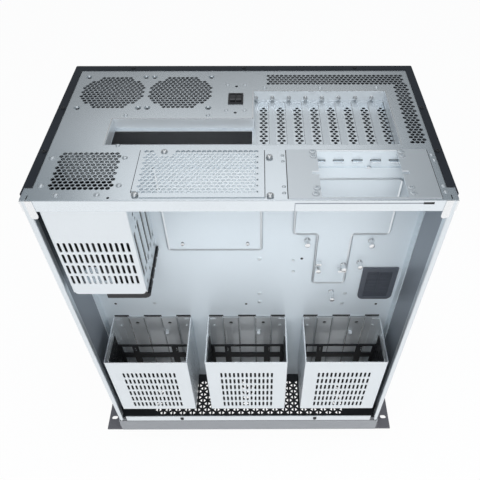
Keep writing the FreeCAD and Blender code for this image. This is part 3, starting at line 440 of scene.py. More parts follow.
def rear_panel():
    """The perforated web, the fold and rail at the open side, the rail under the cover, the fans' dishes."""
    bend, fold_foot, far_rail = 1.5, 4.0, 10.0
    web = 1.0
    screws = [(x + i * FAN_HOLES / 2, y + j * FAN_HOLES / 2) for x, y in FANS for i in SIDES for j in SIDES]
    holes = [[(RECESS_X[0], RECESS_Y[0]), (RECESS_X[1], RECESS_Y[0]), (RECESS_X[1], RECESS_Y[1]),
              (STEP_X, RECESS_Y[1]), (STEP_X, IO_TOP), (RECESS_X[0], IO_TOP)],
             opening("psu_blank_plate", 4, 8, 8, 4),
             opening("psu_mount_plate", 20.6, 2, 20, 1),
             opening("switch_frame", 1, 1, 1, 1)]
    for x, y in FANS:
        holes += fan_grille(x, y)
    holes += [vent(x, y) for x, y in lattice(*SQUARE_VENTS, first_short=True)]
    holes += corner_vents()
    holes += [polygon(x, y, 4.0, 16) for x, y in screws]
    holes += [polygon(x, y, 1.9, 12) for x, y in SWITCH_SCREWS]
    holes.append(polygon(*COVER_SCREW, 1.5, 12))
    inner, foot = PANEL_OUT - SHEET, PANEL_OUT - fold_foot
    corner = arc(NEAR + bend, PANEL_OUT - bend, bend, 180, 90)
    edge = [(NEAR, foot), *corner, (NEAR + bend, inner), (NEAR + SHEET, foot)]
    parts = [
        plate("Z", PANEL_OUT - web, PANEL_OUT, rect(-WALL, NEAR + bend, WALL, FAR), holes),
        prism("X", edge, -WALL, WALL),
        plate("Y", NEAR, NEAR + SHEET, rect(-WALL, low("rear_panel")[2], WALL, foot)),
        box((-WALL, WALL), (FAR - SHEET, FAR), (PANEL_OUT - far_rail, inner)),
    ]
    dish = [(4.0, 0), (2.1, -1.3), (2.1, -1.6), (4.2, -1.0)]
    parts += [turned(dish, (x, y, PANEL_OUT)) for x, y in screws]
    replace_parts(piece("rear_panel_sheet", parts, PANEL), "rear_panel")


def recess_rim_highlights():
    """Painted highlight: a bright strip along the cut edge round the recess."""
    (left, right), (foot, top) = RECESS_X, RECESS_Y
    edge = PANEL_OUT - 0.68, PANEL_OUT + 0.12
    wide = 0.9
    # Bright strips on the recess's edges, as painted highlights
    rims = [box((STEP_X - 0.8, right + 0.8), (top, top + wide), edge),
            box((right, right + wide), (foot, top), edge),
            box((left - 0.8, STEP_X), (IO_TOP, IO_TOP + wide), edge),
            box((STEP_X - wide, STEP_X), (IO_TOP, top), edge),
            box((left - wide, left), (foot, IO_TOP), edge)]
    piece("recess_rim_highlights", rims, BRIGHT_STEEL_AND_HIGHLIGHT)


# ---------------------------------------------------------------- slot covers

SLOTS = [(low(f"slot_cover_{i}")[0] + high(f"slot_cover_{i}")[0]) / 2 for i in range(1, 9)]


def slot_cover(number):
    """A card slot's blank: a perforated strip with a narrower tongue at its foot and a tab at its top."""
    node = f"slot_cover_{number}"
    x0, y0, z0 = low(node)
    x1, y1, z1 = high(node)
    mid = SLOTS[number - 1]
    tongue = 5.0                             # half its width
    shoulder = y0 + 11.2
    rows, pitch, pair = 21, 4.5, 2.7         # rows with one vent and with a pair take turns
    outline = [(mid - tongue, y0), (mid + tongue, y0), (mid + tongue, shoulder - 3), (x1, shoulder), (x1, y1),
               (x0, y1), (x0, shoulder), (mid - tongue, shoulder - 3)]
    holes = []
    for row in range(rows):
        y = OPEN + 188 - row * pitch
        holes += [vent(mid + shift, y, 4.0) for shift in ((-pair, pair) if row % 2 else (0,))]
    parts = [plate("Z", z0 + 0.2, z0 + 1.0, outline, holes), box((x0, x1), (y1 - 1.0, y1), (z0 + 1.0, z1))]
    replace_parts(piece(f"slot_cover_sheet_{number}", parts, PANEL), node)


def slot_shadow_lines():
    """A grey strip beside each slot cover, at the back of the recess, as a painted shadow along the window's
    edge.
    """
    level = low("recess_frame")[2]
    along = (RECESS_Y[0] + 4, RECESS_Y[1] - 4)
    # Painted shadow lines beside the slot windows
    edges = [box((mid + 5.9, mid + 6.4), along, (level, level + 0.4)) for mid in SLOTS]
    piece("slot_shadow_lines", edges, BEZEL_GREY_AND_SHADE)


# ---------------------------------------------------------------- blank plate of the left power supply

BLANK_SCREW = -81.5, OPEN + 80.5


def psu_blank():
    """A perforated plate with a notched corner; its vents leave room for a screw and for the right edge."""
    x0, y0, _ = low("psu_blank_plate")
    x1, y1, z1 = high("psu_blank_plate")
    notch = [(x0, y0 + 9.5), (x0 + 3, y0 + 9.5), (x0 + 8.5, y0 + 7.5), (x0 + 8.5, y0)]
    holes = [vent(x, y, 4.5) for x, y in lattice(x0 + 6.6, y0 + 7.6, 22, 15)
             if math.dist((x, y), BLANK_SCREW) > 9 and x < x1 - 5.6]
    sheet = plate("Z", z1 - 0.7, z1, notch + [(x1, y0), (x1, y1), (x0, y1)], holes)
    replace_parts(piece("psu_blank_sheet", [sheet], PANEL), "psu_blank_plate")


# ---------------------------------------------------------------- front plate

def front_plate():
    """Rows of triangles that point left and right in turn, between lips at the open side and the cover."""
    x0, y0, z0 = low("front_plate")
    x1, y1, z1 = high("front_plate")
    side, step = 11.5, 8.08                  # a triangle's upright side, and its width
    strut = 1.5                              # half the width of the bars between them
    start_x, start_y = 76.3, OPEN + 9.7
    reach, lower, upper = 156, OPEN + 4.5, OPEN + 71
    holes = []
    for column in range(-29, 11):
        x = start_x + column * step
        for row in range(-1, 6):
            y = start_y + (row + column % 2 / 2) * side
            foot, top = (x, y), (x, y + side)
            tip, over = (x + step, y + side / 2), (x + step, y + side * 1.5)
            for hole in (triangle(foot, top, tip, strut), triangle(top, tip, over, strut)):
                if all(abs(u) < reach and lower < v < upper for u, v in hole):
                    holes.append(hole)
    parts = [plate("Z", z1 - SHEET, z1, rect(x0, y0, x1, y1), holes),
             box((-201, 201), (y0, y0 + SHEET), (z0, z1 - SHEET)),
             box((x0, x1), (y1 - SHEET, y1), (z0, z1 - SHEET))]
    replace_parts(piece("front_plate_sheet", parts, BLACK_PAINT_AND_SHADE), "front_plate")


# ---------------------------------------------------------------- top cover

def top_cover():
    """The U-shaped cover with its rounded folds, and the lips that lie on the rear panel."""
    x1, y0, z0 = high("top_cover")[0], low("top_cover")[1], low("top_cover")[2]
    y1, z1 = high("top_cover")[1:]
    bend, sheet, side_lip, far_lip = 1.8, 1.0, 8.2, 9.6
    near = y0 + 11
    skin = [(x1, y0)] + arc(x1 - bend, y1 - bend, bend, 0, 90)
    inside = [(x1 - sheet, y0)] + arc(x1 - bend, y1 - bend, bend - sheet, 0, 90)
    skin += [(-x, y) for x, y in reversed(skin)]
    inside += [(-x, y) for x, y in reversed(inside)]
    x, y = x1 - sheet, y1 - sheet
    lips = [(x, near), (x, y), (-x, y), (-x, near), (side_lip - x, near), (side_lip - x, y - far_lip),
            (x - side_lip, y - far_lip), (x - side_lip, near)]
    parts = [prism("Z", skin + inside[::-1], z0, z1), plate("Z", z1 - sheet, z1, lips)]
    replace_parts(piece("top_cover_sheet", parts, COVER), "top_cover")


def cover_liner():
    """A dark face inside the cover, seen through the connector opening."""
    y1 = high("top_cover")[1]
    piece("cover_liner", [box((-204, 120), (y1 - 3.6, y1 - 2.6), (300, PANEL_OUT - 3))], BEZEL_GREY_AND_SHADE)


def cover_screws():
    """Small screws in the cover's lips: three along the far side, and two down each flank."""
    x1, y1 = high("top_cover")[:2]
    inset, radius = 6.2, 2.4
    heads = [screw(share * 2 * OUTSIDE, y1 - inset, BACK, radius) for share in (-0.33, 0.0, 0.33)]
    for share in (0.3, 0.62):
        y = OPEN + share * (y1 - OPEN)
        heads += [screw(side * (x1 - inset), y, BACK, radius) for side in SIDES]
    piece("cover_screws", heads, BLACK_PAINT_AND_SHADE, smooth=True)


# ---------------------------------------------------------------- cross rail and side walls

def front_cross_rail():
    """An angle: a low face at the open side, and the sheet behind its foot."""
    x0, y0, z0 = low("front_cross_rail")
    x1, y1, _ = high("front_cross_rail")
    height = 14.5
    parts = [box((x0, x1), (y0, y0 + SHEET), (z0, z0 + height)),
             box((x0, x1), (y0 + SHEET, y1), (z0, z0 + SHEET))]
    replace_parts(piece("front_cross_rail_sheet", parts, CAGE_ZINC), "front_cross_rail")


def side_wall(node, side):
    """A wall with a flange under the cover, and its rolled rail at the open side."""
    near, far = low(node)[1], high(node)[1]
    start, end = low(node)[2], PANEL_OUT
    inner = OUTSIDE - SHEET
    flange = OUTSIDE - 12.0
    radius, lip = 3.5, 5.5
    axis_x, axis_y = OUTSIDE - radius, near + radius
    web = [(OUTSIDE, near + 4), (inner, near + 4), (inner, far - SHEET), (flange, far - SHEET), (flange, far),
           (OUTSIDE, far)]
    roll = arc(axis_x, axis_y, radius, 0, -180, 14)
    roll += [(axis_x - radius, axis_y + lip), (axis_x - radius + 1, axis_y + lip)]
    roll += arc(axis_x, axis_y, radius - 1, -180, 0, 14)
    roll += [(OUTSIDE - 1, axis_y + 1), (OUTSIDE, axis_y + 1)]
    # The web takes the darkened zinc as painted shade; the rolled rail keeps the plain zinc
    wall = piece(node + "_sheet", [prism("Z", [(side * x, y) for x, y in web], start, end)], SHADED_ZINC)
    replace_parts(wall, node)
    piece(node + "_roll", [prism("Z", [(side * x, y) for x, y in roll], start, end)], ZINC, smooth=True)


# ---------------------------------------------------------------- front drive cages

RIB = 24.4                   # from a cage's middle to the middle of a rib on its inner wall
RIB_HALF = 11.0
RIB_RISE = 2.6               # of a rib's face above the wall
CAGE_ROW = 17.2              # between the rows of slots
CAGE_BEND = 1.6


def cage_shell(node):
    """Four slotted walls with rounded folds, and the ribs, straps and latch on the inner wall."""
    x0, y0, z0 = low(node)
    x1, y1, z1 = high(node)
    mid = (x0 + x1) / 2
    tops = [z1 - 27.3 - CAGE_ROW * row for row in range(6)]
    near_slots = [slot(mid + k * 6.12, top - 6, 3.1, 12.8) for k in range(-6, 7) for top in tops]
    side_slots = [slot(y0 + 13 + k * 7.6, top - 4, 2.4, 12) for k in range(8) for top in [z1 - 12] + tops]
    face = rect(x0 + CAGE_BEND, z0, x1 - CAGE_BEND, z1)
    flank = rect(y0 + CAGE_BEND, z0, y1 - CAGE_BEND, z1)
    parts = [plate("Y", y0, y0 + CAGE_SHEET, face, near_slots),
             plate("Y", y1 - CAGE_SHEET, y1, face),
             plate("X", x0, x0 + CAGE_SHEET, flank, side_slots),
             plate("X", x1 - CAGE_SHEET, x1, flank, side_slots)]
    for x, out_x in ((x0, -1), (x1, 1)):
        parts += [fold(x, y, out_x, out_y, z0, z1, CAGE_BEND) for y, out_y in ((y0, -1), (y1, 1))]
    wall = y1 - CAGE_SHEET
    crown = wall - RIB_RISE
    for side in SIDES:
        x = mid + side * RIB
        parts.append(plate("Y", crown, crown + 0.6, rect(x - RIB_HALF, z0, x + RIB_HALF, z1 + 1.2),
                           [polygon(x, z1 - 11.5, 3.0, 14)]))
        for edge in SIDES:
            a, b = x + edge * RIB_HALF, x + edge * (RIB_HALF + 2.5)
            slope = [(a, crown), (b, wall), (b - edge * 0.8, wall), (a, crown + 0.6)]
            parts.append(prism("Z", slope, z0, z1 + 1.2))
        strap = sorted((mid + side * 47.5, mid + side * 57.5))
        parts.append(box(strap, (wall - 1.4, wall - 0.2), (z0 + 8, z1 - 4)))
        tab = (x0 + 1.0, x0 + 2.2) if side < 0 else (x1 - 2.2, x1 - 1.0)
        parts.append(box(tab, (y1 - 34, y1 - 28), (z0 + 10, z1 - 6)))
        stud = [(2.6, 0), (2.6, 0.7), (1.8, 1.4), (0, 1.5)]
        parts.append(turned(stud, (mid + side * 50, wall - 1.4, z1 - 20), "Y", 14, -1))
    latch = [(crown, z1 - 33), (y1 - 8.5, z1 - 34), (y1 - 8.9, z1 - 40), (y1 - 7.9, z1 - 40),
             (y1 - 7.6, z1 - 35), (crown, z1 - 34.2)]
    parts.append(prism("X", latch, mid + 15, mid + 20))
    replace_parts(piece(node + "_sheet", parts, CAGE_ZINC), node)


def cage_edge_highlights(node):
    """Painted highlights: bright strips round the cage's mouth and down beside the ribs."""
    x0, y0, z0 = low(node)
    x1, y1, z1 = high(node)
    edge = (z1, z1 + 0.9)
    # Bright strips standing on the rims and beside the ribs, as painted highlights
    rims = [box((x0 + 0.2, x1 - 0.2), (y0, y0 + 1), (z1, z1 + 0.7)),
            box((x0 + 1, x1 - 1), (y1 - 1.2, y1 - 0.1), edge),
            box((x0, x0 + 1.8), (y0 + 1, y1 - 1), edge),
            box((x1 - 1.8, x1), (y0 + 1, y1 - 1), edge)]
    for rib in (-RIB, RIB):
        for side in SIDES:
            x = (x0 + x1) / 2 + rib + side * (RIB_HALF + 0.2)
            ridge = [(x - 1.1, y1 - 3.4), (x, y1 - 4.6), (x + 1.1, y1 - 3.4)]
            rims.append(prism("Z", ridge, z0 + 12, z1 + 1.2))
    piece(node + "_edges", rims, BRIGHT_STEEL_AND_HIGHLIGHT)


def cage_insides(node):
    """Black parts: brackets by the side walls and plates behind the slots; and black strips and discs at the
    mouth that paint its shade and the shade in the rib holes.
    """
    x0, y0, z0 = low(node)
    x1, y1, z1 = high(node)
    mid = (x0 + x1) / 2
    spots = [polygon(y0 + 14 + 9 * i, z0 + 22 + 11 * j, 2.2, 10) for i in range(5) for j in range(9)]
    outline = rect(y0 + 7, z0 + 12, y1 - 26, z1 - 14)
    brackets = [plate("X", x, x + CAGE_SHEET, outline, spots) for x in (x0 + 2.4, x1 - 2.4 - CAGE_SHEET)]
    for start, end in ((-44, -10), (16, 44)):
        brackets.append(box((mid + start, mid + end), (y0 + 3, y0 + 3.8), (z0 + 8, z0 + 96)))
    piece(node + "_brackets", brackets, BLACK_PAINT_AND_SHADE)
    # Black strips at the mouth and discs behind the rib holes, as painted shade
    mouth_shades = [box((mid + start, mid + end), (y1 - 0.2, y1 + 0.12), (z1 + 0.9, z1 + 3.6))
            for start, end in ((-57, -35.6), (-13.2, 13.2), (35.6, 57))]
    disc = [(3.6, 0), (3.6, 0.2), (0, 0.2)]
    mouth_shades += [turned(disc, (mid + side * RIB, y1 - 1.0, z1 - 11.5), "Y", 16, -1) for side in SIDES]
    piece(node + "_mouth_shade", mouth_shades, BLACK_PAINT_AND_SHADE)


def frame_rivets(cage_node, node):
    """Four small rivets on the near side of the drive frame in a cage."""
    mid = (low(cage_node)[0] + high(cage_node)[0]) / 2
    level = high(node)[2] - 8
    dots = [rivet(mid + side * 31.6 + 1.5, low(node)[1], level - k * 5, 1.1, 0.8, "Y", -1)
            for side in SIDES for k in (0, 1)]
    piece(node + "_rivets", dots, BRIGHT_STEEL_AND_HIGHLIGHT, smooth=True)


# ---------------------------------------------------------------- rear drive cage

def rear_cage():
    """A slotted near wall with clipped lower corners, and two side walls with long and short slots."""
    x0, y0, z0 = low("rear_cage")
    x1, y1, z1 = high("rear_cage")
    bend, clip = 1.8, 4.0
    near_slots = [slot(x0 + 5.6 + k * 6.15, z0 + 76.6 - CAGE_ROW * row, 3.0, 13.8)
                  for k in range(13) for row in range(4)]
    side_slots = [slot(y0 + 7.2 + k * 19.6, z0 + 58, 6.6, 67) for k in range(4)]
    side_slots += [slot(y0 + 12.5 + k * 20.2, z0 + 9.5, 5, 7) for k in range(4)]
    side_slots += [slot(y0 + 17.5 + k * 19.6, z0 + 25, 5, 9) for k in range(4)]
    for y, z, count in ((17.5, 90, 4), (42, 95, 3)):
        side_slots += [slot(y0 + y + k % 2 * 4, z0 + z + 9 * k, 5, 3.4) for k in range(count)]
    left, right = x0 + bend, x1 - bend
    outline = [(left + clip, z0), (right - clip, z0), (right - 1.2, z0 + 1.2), (right, z0 + clip),
               (right, z1), (left, z1), (left, z0 + clip), (left + 1.2, z0 + 1.2)]
    flank = rect(y0 + bend, z0 + 1, y1, z1)
    parts = [plate("Y", y0, y0 + CAGE_SHEET, outline, near_slots),
             plate("X", x1 - CAGE_SHEET, x1, flank, side_slots),
             plate("X", x0, x0 + CAGE_SHEET, flank, side_slots)]
    parts += [fold(x, y0, side, -1, z0 + clip, z1, bend) for x, side in ((x0, -1), (x1, 1))]
    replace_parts(piece("rear_cage_sheet", parts, CAGE_ZINC), "rear_cage")


def rear_cage_insides():
    """Black rails for the drives, and plates behind the slots."""
    x0, y0, z0 = low("rear_cage")
    x1, y1, z1 = high("rear_cage")
    guides = [box((x0 + 4, x1 - 4), (y, y + 1.6), (z0 + 8, z1 - 20)) for y in (y0 + 36, y0 + 56)]
    guides += [box((x, x + 6), (y0 + 14, y0 + 62), (z0 + 8, z1 - 22)) for x in (x0 + 3, x0 + 34, x0 + 56)]
    guides += [box((x, x + 0.8), (y0 + 3, y1 - 3), (z0 + 4, z0 + 128)) for x in (x0 + 1.1, x1 - 1.9)]
    guides += [box(x, (y0 + 3, y0 + 4), (z0 + 8, z0 + 54)) for x in ((x0 + 4, x0 + 16), (x0 + 50, x1 - 4))]
    piece("rear_drive_guides", guides, BLACK_PAINT_AND_SHADE)


def rear_cage_dark_band():
    """A black band below the cage, with black blocks along its right side."""
    y0, z0 = low("rear_cage")[1:]
    x1 = high("rear_cage")[0]
    foot = [(x1 - 49, z0 - 9), (x1 - 4, z0 - 9), (x1, z0 - 7.5), (x1 + 2.8, z0 - 4.5), (x1 + 3.6, z0 - 0.5),
            (x1 - 1, z0 - 0.5), (x1 - 1.4, z0 + 6), (x1 - 49, z0 + 6)]
    dark_band_parts = [plate("Y", y0 + 1.2, y0 + 9, foot)]
    for k in range(4):
        y = y0 + 11 + k * 18.5
        dark_band_parts.append(box((x1 - 1.0, x1 + 2.4), (y, y + 14), (z0 - 6, z0 - 0.5)))
    piece("rear_cage_dark_strip", dark_band_parts, BLACK_PAINT_AND_SHADE)


# ---------------------------------------------------------------- tray

FIELD = 1.5                                  # how far the embossed fields stand out
# each post: x, z, whether it stands on a field, and the height of its nut above its foot
POSTS = ((79.9, 406.1, 0, 9), (161.2, 404.7, 0, 9), (97, 359.4, 1, 9),
         (131, 362.3, 1, 9), (152.1, 365.4, 0, 9), (120.5, 305.9, 0, 15))
PILOTS = ((-190.8, 278.5), (-0.6, 277.3), (189.1, 276.6), (63.8, 368.8), (64.8, 347.3), (75, 372))
FIELD_SCREWS = ((-78.6, 400.9), (4.2, 400.9))
BUTTONS = ((19, 371.3), (18.8, 301.4), (18.8, 282.3))


def tray_steps():
    """The raised edges of the two embossed fields."""
    top, shelf = PANEL_OUT - 22, 501.4
    blank_field = [(21, top), (21, 391), (-97, 391), (-97, top)]
    card_field = [(119, shelf), (181, shelf), (181, 418), (135, 418), (135, 326),
                  (93, 326), (93, 418), (63, 418), (63, shelf), (120, shelf)]
    section = [(-2.2, FIELD - 0.1), (-1.5, FIELD + 0.8), (-0.6, FIELD + 1.1),
               (0.3, FIELD + 0.7), (2.38, 0.3), (3.4, -0.1)]
    steps = [strip(eased(blank_field, 3.0), section, TRAY), strip(eased(card_field, 5.0), section, TRAY)]
    piece("tray_steps", steps, ZINC, smooth=True)


def post_collars():
    """Flared feet and nuts on the posts, and two clips between them."""
    foot = [(4.4, 0), (4.2, 1.0), (3.0, 2.2), (2.7, 5.5)]
    nut = [(0, 0), (3.4, 0), (3.4, 1.6), (2.4, 2.0), (0, 2.0)]
    collars = []
    for x, z, raised, rise in POSTS:
        level = TRAY - raised * FIELD
        collars += [turned(foot, (x, level, z), "Y", 16, -1), turned(nut, (x, level - rise, z), "Y", 16, -1)]
    collars.append(box((124, 135), (TRAY - 8.5, TRAY - FIELD), (354, 357)))
    collars.append(box((94, 101), (TRAY - 7.5, TRAY - FIELD), (366, 369)))
    piece("post_collars", collars, BRIGHT_STEEL_AND_HIGHLIGHT, smooth=True)


def tray_buttons():
    """Round pressed bosses."""
    button = [(3.4, 0), (2.8, 0.5), (1.5, 0.6), (1.3, 0.1), (0, 0)]
    buttons = [turned(button, (x, TRAY, z), "Y", 16, -1) for x, z in BUTTONS]
    piece("tray_buttons", buttons, TRAY_ZINC, smooth=True)


def tray_hole_shades():
    """Black discs that paint the shade in the pilot holes, and a painted shadow above each screw on the left
    field.
    """
    hole = [(1.9, 0), (1.9, 0.12), (0, 0.12)]
    dots = [turned(hole, (x, TRAY, z), "Y", 14, -1) for x, z in PILOTS]
    # Painted shadow above each field screw
    dots += [turned(hole, (x, TRAY - FIELD, z + 1.5), "Y", 14, -1) for x, z in FIELD_SCREWS]
    piece("tray_hole_shades", dots, BLACK_PAINT_AND_SHADE)


def grommet_brush():
    """Two rows of bristles that meet unevenly in the middle of the cable opening."""
    x0, _, z0 = low("cable_grommet")
    x1, _, z1 = high("cable_grommet")
    frame_wide, frame_tall, count = 6, 7, 96
    mid = (x0 + x1) / 2
    bristles = []
    for k in range(count):
        z = z0 + frame_tall + k * (z1 - z0 - 2 * frame_tall) / (count - 1)
        y = TRAY - 0.9 + 0.4 * math.cos(k * 1.7)
        wave = 0.6 * math.sin(k * 2.4)
        for reach in ((x0 + frame_wide, mid - 0.3 + wave), (mid + 0.3 + wave, x1 - frame_wide)):
            bristles.append(box(reach, (y - 0.3, y + 0.3), (z - 0.19, z + 0.19)))
    piece("grommet_brush", bristles, GROMMET)


# ---------------------------------------------------------------- tabs, painted shade lines and hooks on the near side

def corner_tabs():
    """Lobed tabs over the joint between each side wall and the rear panel."""
    top = PANEL_OUT - 0.3
    lobe = arc(205, 519.5, 3.6, 180, 300) + [(210.5, 518.5), (214.3, 527), (214.4, top), (202.2, top)]
    tabs = [plate("Y", NEAR - 0.9, NEAR - 0.1, [(side * x, z) for x, z in lobe]) for side in SIDES]
    piece("corner_tabs", tabs, BRIGHT_STEEL_AND_HIGHLIGHT)


def flange_groove_shade():
    """Darker strips that paint the shade of the groove where the mount plate's edge shows on the near rail.
    """
    face = (NEAR - 0.06, NEAR + 0.3)
    # Painted shade along the groove
    groove = [box((54.6, 180.5), face, (534.2, 535.6)), box((54.2, 54.9), (NEAR - 0.05, NEAR), (525, 535))]
    piece("flange_groove_shade", groove, SHADED_ZINC)


def shadow_lines_and_hooks():
    """Painted shadow lines beside the power supply plates and above the bezel, painted shade in a slit in the
    near rail, two hooks.
    """
    shadow_lines = []
    # Black strips that paint the shadow beside each power supply plate
    for node, feet, short in (("psu_blank_plate", (13, 5), 0), ("psu_mount_plate", (3.4, 3.4), 0.2)):
        top = high(node)[1] - short
        for x, foot in zip((low(node)[0] - 0.8, high(node)[0] + 0.1), feet):
            shadow_lines.append(box((x, x + 0.7), (OPEN + foot, top), (PANEL_OUT, PANEL_OUT + 0.5)))
    # Painted shade in the slit, and a painted shadow line above the bezel
    shadow_lines.append(box((180.5, 191.2), (NEAR - 0.06, NEAR + 0.3), (533.6, 536.2)))
    shadow_lines.append(box((-214, 214), (OPEN - 0.08, OPEN + 0.4), (BEZEL_TOP - 0.7, BEZEL_TOP + 0.4)))
    hook = [(OPEN + 1.2, 76), (OPEN - 0.9, 77.5), (OPEN - 0.9, 83), (OPEN - 0.1, 84), (OPEN + 1.2, 84)]
    for x in (-109.5, 109.5):
        shadow_lines.append(prism("X", hook, x - 2.6, x + 2.6))
        shadow_lines.append(box((x - 1.2, x + 1.2), (OPEN - 1.6, OPEN - 0.9), (78, 82.5)))
    piece("shadow_lines_and_hooks", shadow_lines, BLACK_PAINT_AND_SHADE)


# ---------------------------------------------------------------- small fasteners

# Places on the rear panel are (x, distance from the open side).
NUTS = ((76.1, 79.3), (76.7, 71.1), (76.8, 18.6), (75, 9.6),
        (170.2, 78.7), (170.3, 71.5), (170.5, 18.8), (171.1, 9.8))
PLATE_RIVETS = ((202.1, 74.7), (203.3, 65.5), (203.1, 22.6), (203.4, 13.5))
SEAM_RIVETS = (73.9, 63.8, 22.1, 12.3)
PLATE_SCREWS = ((-81.5, 79.5), (-102.8, 9.0), (30.2, 70.2), (30.2, 7.5))
RECESS_RIVETS = ((-134.6, 152.3), (-39.7, 151.8), (-133.5, 92.4),
                 (26.1, 213.3), (94.1, 212.6), (163.7, 213.3))
CAGE_RIVETS = ((-199, 70), (-199, 24), (-180.6, 9.6), (-140.2, 9.7), (-122.3, 70.3), (-121, 24.3))
SWITCH_RIVETS = ((-19.5, 220.4), (2.2, 219.9), (-19, 162.1), (2.5, 161.8))
# Places on the tray are (x, z).
WIDE_RIVETS = BUTTONS + ((-133.8, 279.4), (140.9, 301), (139.1, 278.4))
SMALL_RIVETS = ((63.8, 368.8, 0), (64.8, 347.3, 0), (140.4, 517.3, 1))


def panel_rivets():
    """Clinched nuts beside the power supply plates, and the rivets of the rear panel and the tray."""
    nut = [(3.9, 0), (3.4, 0.9), (2.2, 1.2), (1.7, 1.1), (1.4, 0.2), (0, 0.2)]
    heads = [turned(nut, (x, OPEN + y, BACK), "Z", 20) for x, y in NUTS]
    for places, size in ((PLATE_RIVETS, (2.4, 1.0)), ([(44, y) for y in SEAM_RIVETS], (2.0, 0.7)),
                         (RECESS_RIVETS, (2.7, 1.2)), (CAGE_RIVETS, (3.2, 1.3)), (SWITCH_RIVETS, (2.4, 0.8))):
        heads += [rivet(x, OPEN + y, PANEL_OUT, *size) for x, y in places]
    heads += [rivet(x, TRAY, z, 2.6, 1.0, "Y", -1) for x, z in WIDE_RIVETS]
    heads += [rivet(x, TRAY - raised * FIELD, z, 2.2, 0.9, "Y", -1) for x, z, raised in SMALL_RIVETS]
    piece("panel_rivets", heads, ZINC, smooth=True)


def panel_screws():
    """The screws of the power supply plates, of the card slots and of the tray's left field."""
    heads = [screw(x, OPEN + y, BACK, 3.6) for x, y in PLATE_SCREWS]
    heads += [screw(mid - 9.4, RECESS_Y[1] - 1.3, PANEL_OUT - 8.6, 2.9, "Y", -1) for mid in SLOTS]
    heads += [screw(x, TRAY - FIELD, z, 2.6, "Y", -1) for x, z in FIELD_SCREWS]
    piece("panel_screws", heads, BRIGHT_STEEL_AND_HIGHLIGHT, smooth=True)


# ---------------------------------------------------------------- all pieces

rear_panel()
for number in range(1, 9):
    slot_cover(number)
psu_blank()
front_plate()
top_cover()
front_cross_rail()
side_wall("side_wall_left", -1)
side_wall("side_wall_right", 1)
for name in ("left", "centre", "right"):
    cage_shell("front_cage_" + name)
    cage_edge_highlights("front_cage_" + name)
    cage_insides("front_cage_" + name)
    frame_rivets("front_cage_" + name, "drive_frame_" + name)
rear_cage()
rear_cage_insides()
rear_cage_dark_band()
tray_steps()
tray_buttons()
cover_liner()
post_collars()
tray_hole_shades()
grommet_brush()
corner_tabs()
flange_groove_shade()
recess_rim_highlights()
slot_shadow_lines()
shadow_lines_and_hooks()
cover_screws()
panel_screws()
panel_rivets()


# ---------------------------------------------------------------- studio: world, floor and lamps, in metres

def seen_or_lit(tree, rays, seen, lit):
    """One shader for the kinds of ray that are named, and another for all other light."""
    path = add_node(tree, "LightPath")
    factor = path.outputs[rays[0]]
    for kind in rays[1:]:
        factor = math_node(tree, "MAXIMUM", factor, path.outputs[kind])
    mix = add_node(tree, "MixShader")
    tree.links.new(factor, mix.inputs[0])
    tree.links.new(lit, mix.inputs[1])
    tree.links.new(seen, mix.inputs[2])
    return mix.outputs[0]


def soft_step(tree, socket, start, end):
    """Rises smoothly from 0 to 1 while the socket goes from start to end."""
    step = add_node(tree, "MapRange", {"interpolation_type": "SMOOTHSTEP"}, From_Min=start, From_Max=end)
    tree.links.new(socket, step.inputs["Value"])
    return step.outputs["Result"]


def reflected_studio(tree):
    """What metal reflects: bright at the horizon, dim above it, and a ceiling that is dark at both sides."""
    parts = add_node(tree, "SeparateXYZ")
    tree.links.new(add_node(tree, "TexCoord").outputs["Generated"], parts.inputs[0])
    height = add_node(tree, "ValToRGB")
    stops = height.color_ramp.elements
    horizon, zenith = stops
    horizon.position = 0.0
    horizon.color = (0.93, 0.96, 1.0, 1)
    zenith.position = 1.0
    zenith.color = (0.75, 0.77, 0.80, 1)
    for place, value in ((0.2, 0.20), (0.42, 0.12), (0.50, 0.28), (0.55, 1.0), (0.62, 1.0)):
        stop = stops.new(place)
        stop.color = (value * 0.95, value * 0.98, value, 1)
    tree.links.new(parts.outputs["Z"], height.inputs["Fac"])
    aside = math_node(tree, "ABSOLUTE", math_node(tree, "ADD", parts.outputs["X"], 0.04))
    sides = math_node(tree, "MULTIPLY", soft_step(tree, aside, 0.20, 0.32),
                      soft_step(tree, parts.outputs["Z"], 0.45, 0.56))
    shade = add_node(tree, "Mix", {"data_type": "RGBA"}, B=(0.12, 0.15, 0.17, 1))
    tree.links.new(sides, shade.inputs["Factor"])
    tree.links.new(height.outputs["Color"], shade.inputs["A"])
    studio = add_node(tree, "Background")
    tree.links.new(shade.outputs["Result"], studio.inputs["Color"])
    return studio.outputs[0]


def set_world():
    """Pale soft light. The camera sees white, and metal reflects the studio."""
    world = bpy.data.worlds.new("studio")
    bpy.context.scene.world = world
    world.use_nodes = True
    tree = world.node_tree
    tree.nodes.clear()
    light = add_node(tree, "Background", Color=(0.9, 0.95, 1.0, 1), Strength=0.45).outputs[0]
    white = add_node(tree, "Background", Color=(1, 1, 1, 1)).outputs[0]
    inner = seen_or_lit(tree, ["Is Glossy Ray"], reflected_studio(tree), light)
    outer = seen_or_lit(tree, ["Is Camera Ray", "Is Transmission Ray"], white, inner)
    tree.links.new(outer, add_node(tree, "OutputWorld").inputs["Surface"])


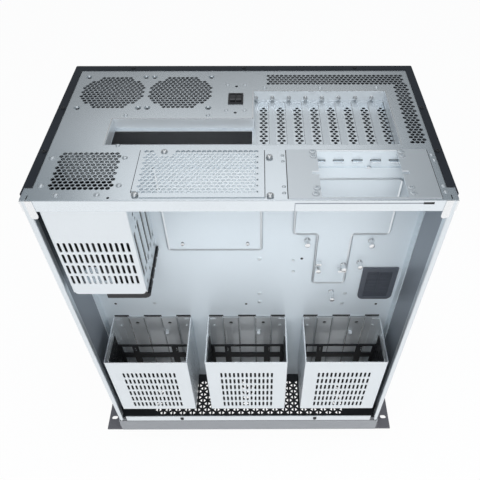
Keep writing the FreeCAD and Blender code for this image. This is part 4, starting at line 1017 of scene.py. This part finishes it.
def pale_floor():
    """A matt floor that looks white and still takes the object's shadow."""
    mat = bpy.data.materials.new("pale_floor")
    mat.use_nodes = True
    tree = mat.node_tree
    tree.nodes.clear()
    matt = add_node(tree, "BsdfDiffuse", Color=(0.85, 0.86, 0.87, 1))
    glow = add_node(tree, "Emission", Color=(1, 1, 1, 1), Strength=1.0)
    both = add_node(tree, "MixShader", Fac=0.95)
    tree.links.new(matt.outputs[0], both.inputs[1])
    tree.links.new(glow.outputs[0], both.inputs[2])
    rays = ["Is Camera Ray", "Is Glossy Ray", "Is Transmission Ray"]
    surface = seen_or_lit(tree, rays, both.outputs[0], matt.outputs[0])
    tree.links.new(surface, add_node(tree, "OutputMaterial").inputs["Surface"])
    mesh = bpy.data.meshes.new("floor")
    mesh.from_pydata([(-4, -4, 0), (4, -4, 0), (4, 4, 0), (-4, 4, 0)], [], [(0, 1, 2, 3)])
    mesh.materials.append(mat)
    floor = bpy.data.objects.new("floor", mesh)
    bpy.context.collection.objects.link(floor)


def softbox(name, position, target, size, power):
    """An area lamp that metal doesn't reflect."""
    lamp = bpy.data.lights.new(name, "AREA")
    lamp.shape = "RECTANGLE"
    lamp.size, lamp.size_y = size
    lamp.energy = power
    obj = bpy.data.objects.new(name, lamp)
    bpy.context.collection.objects.link(obj)
    obj.location = position
    obj.rotation_euler = (Vector(target) - Vector(position)).to_track_quat("-Z", "Y").to_euler()
    obj.visible_glossy = False


set_world()
pale_floor()
softbox("key", (-0.7, -1.6, 1.9), (0, -0.1, 0.35), (1.4, 1.0), 12)
softbox("front", (0.03, -0.95, 1.25), (0.05, -0.1, 0.5), (0.5, 0.5), 5)
softbox("fill", (1.3, -1.2, 1.0), (0, -0.1, 0.3), (1.0, 1.0), 8)
softbox("top", (0.1, -0.1, 2.2), (0, 0, 0.5), (1.6, 1.2), 12)


# ---------------------------------------------------------------- camera, at the photograph's viewing angle

EYE = Vector((20.325, OPEN - 396.752, FRONT + 829.749))
TILT = 38.9319, -0.0391, -0.2186             # degrees about X, Y and Z from looking straight down

lens = bpy.data.cameras.new("camera")
lens.sensor_width = 36
lens.lens = 39.15
lens.shift_x = -0.045833                     # shares of the picture's width
lens.shift_y = 0.135417
lens.clip_start = 0.05
lens.clip_end = 20
camera = bpy.data.objects.new("camera", lens)
bpy.context.collection.objects.link(camera)
camera.location = EYE * MM
camera.rotation_euler = [math.radians(angle) for angle in TILT]
bpy.context.scene.camera = camera
bpy.context.scene.view_settings.view_transform = "Standard"
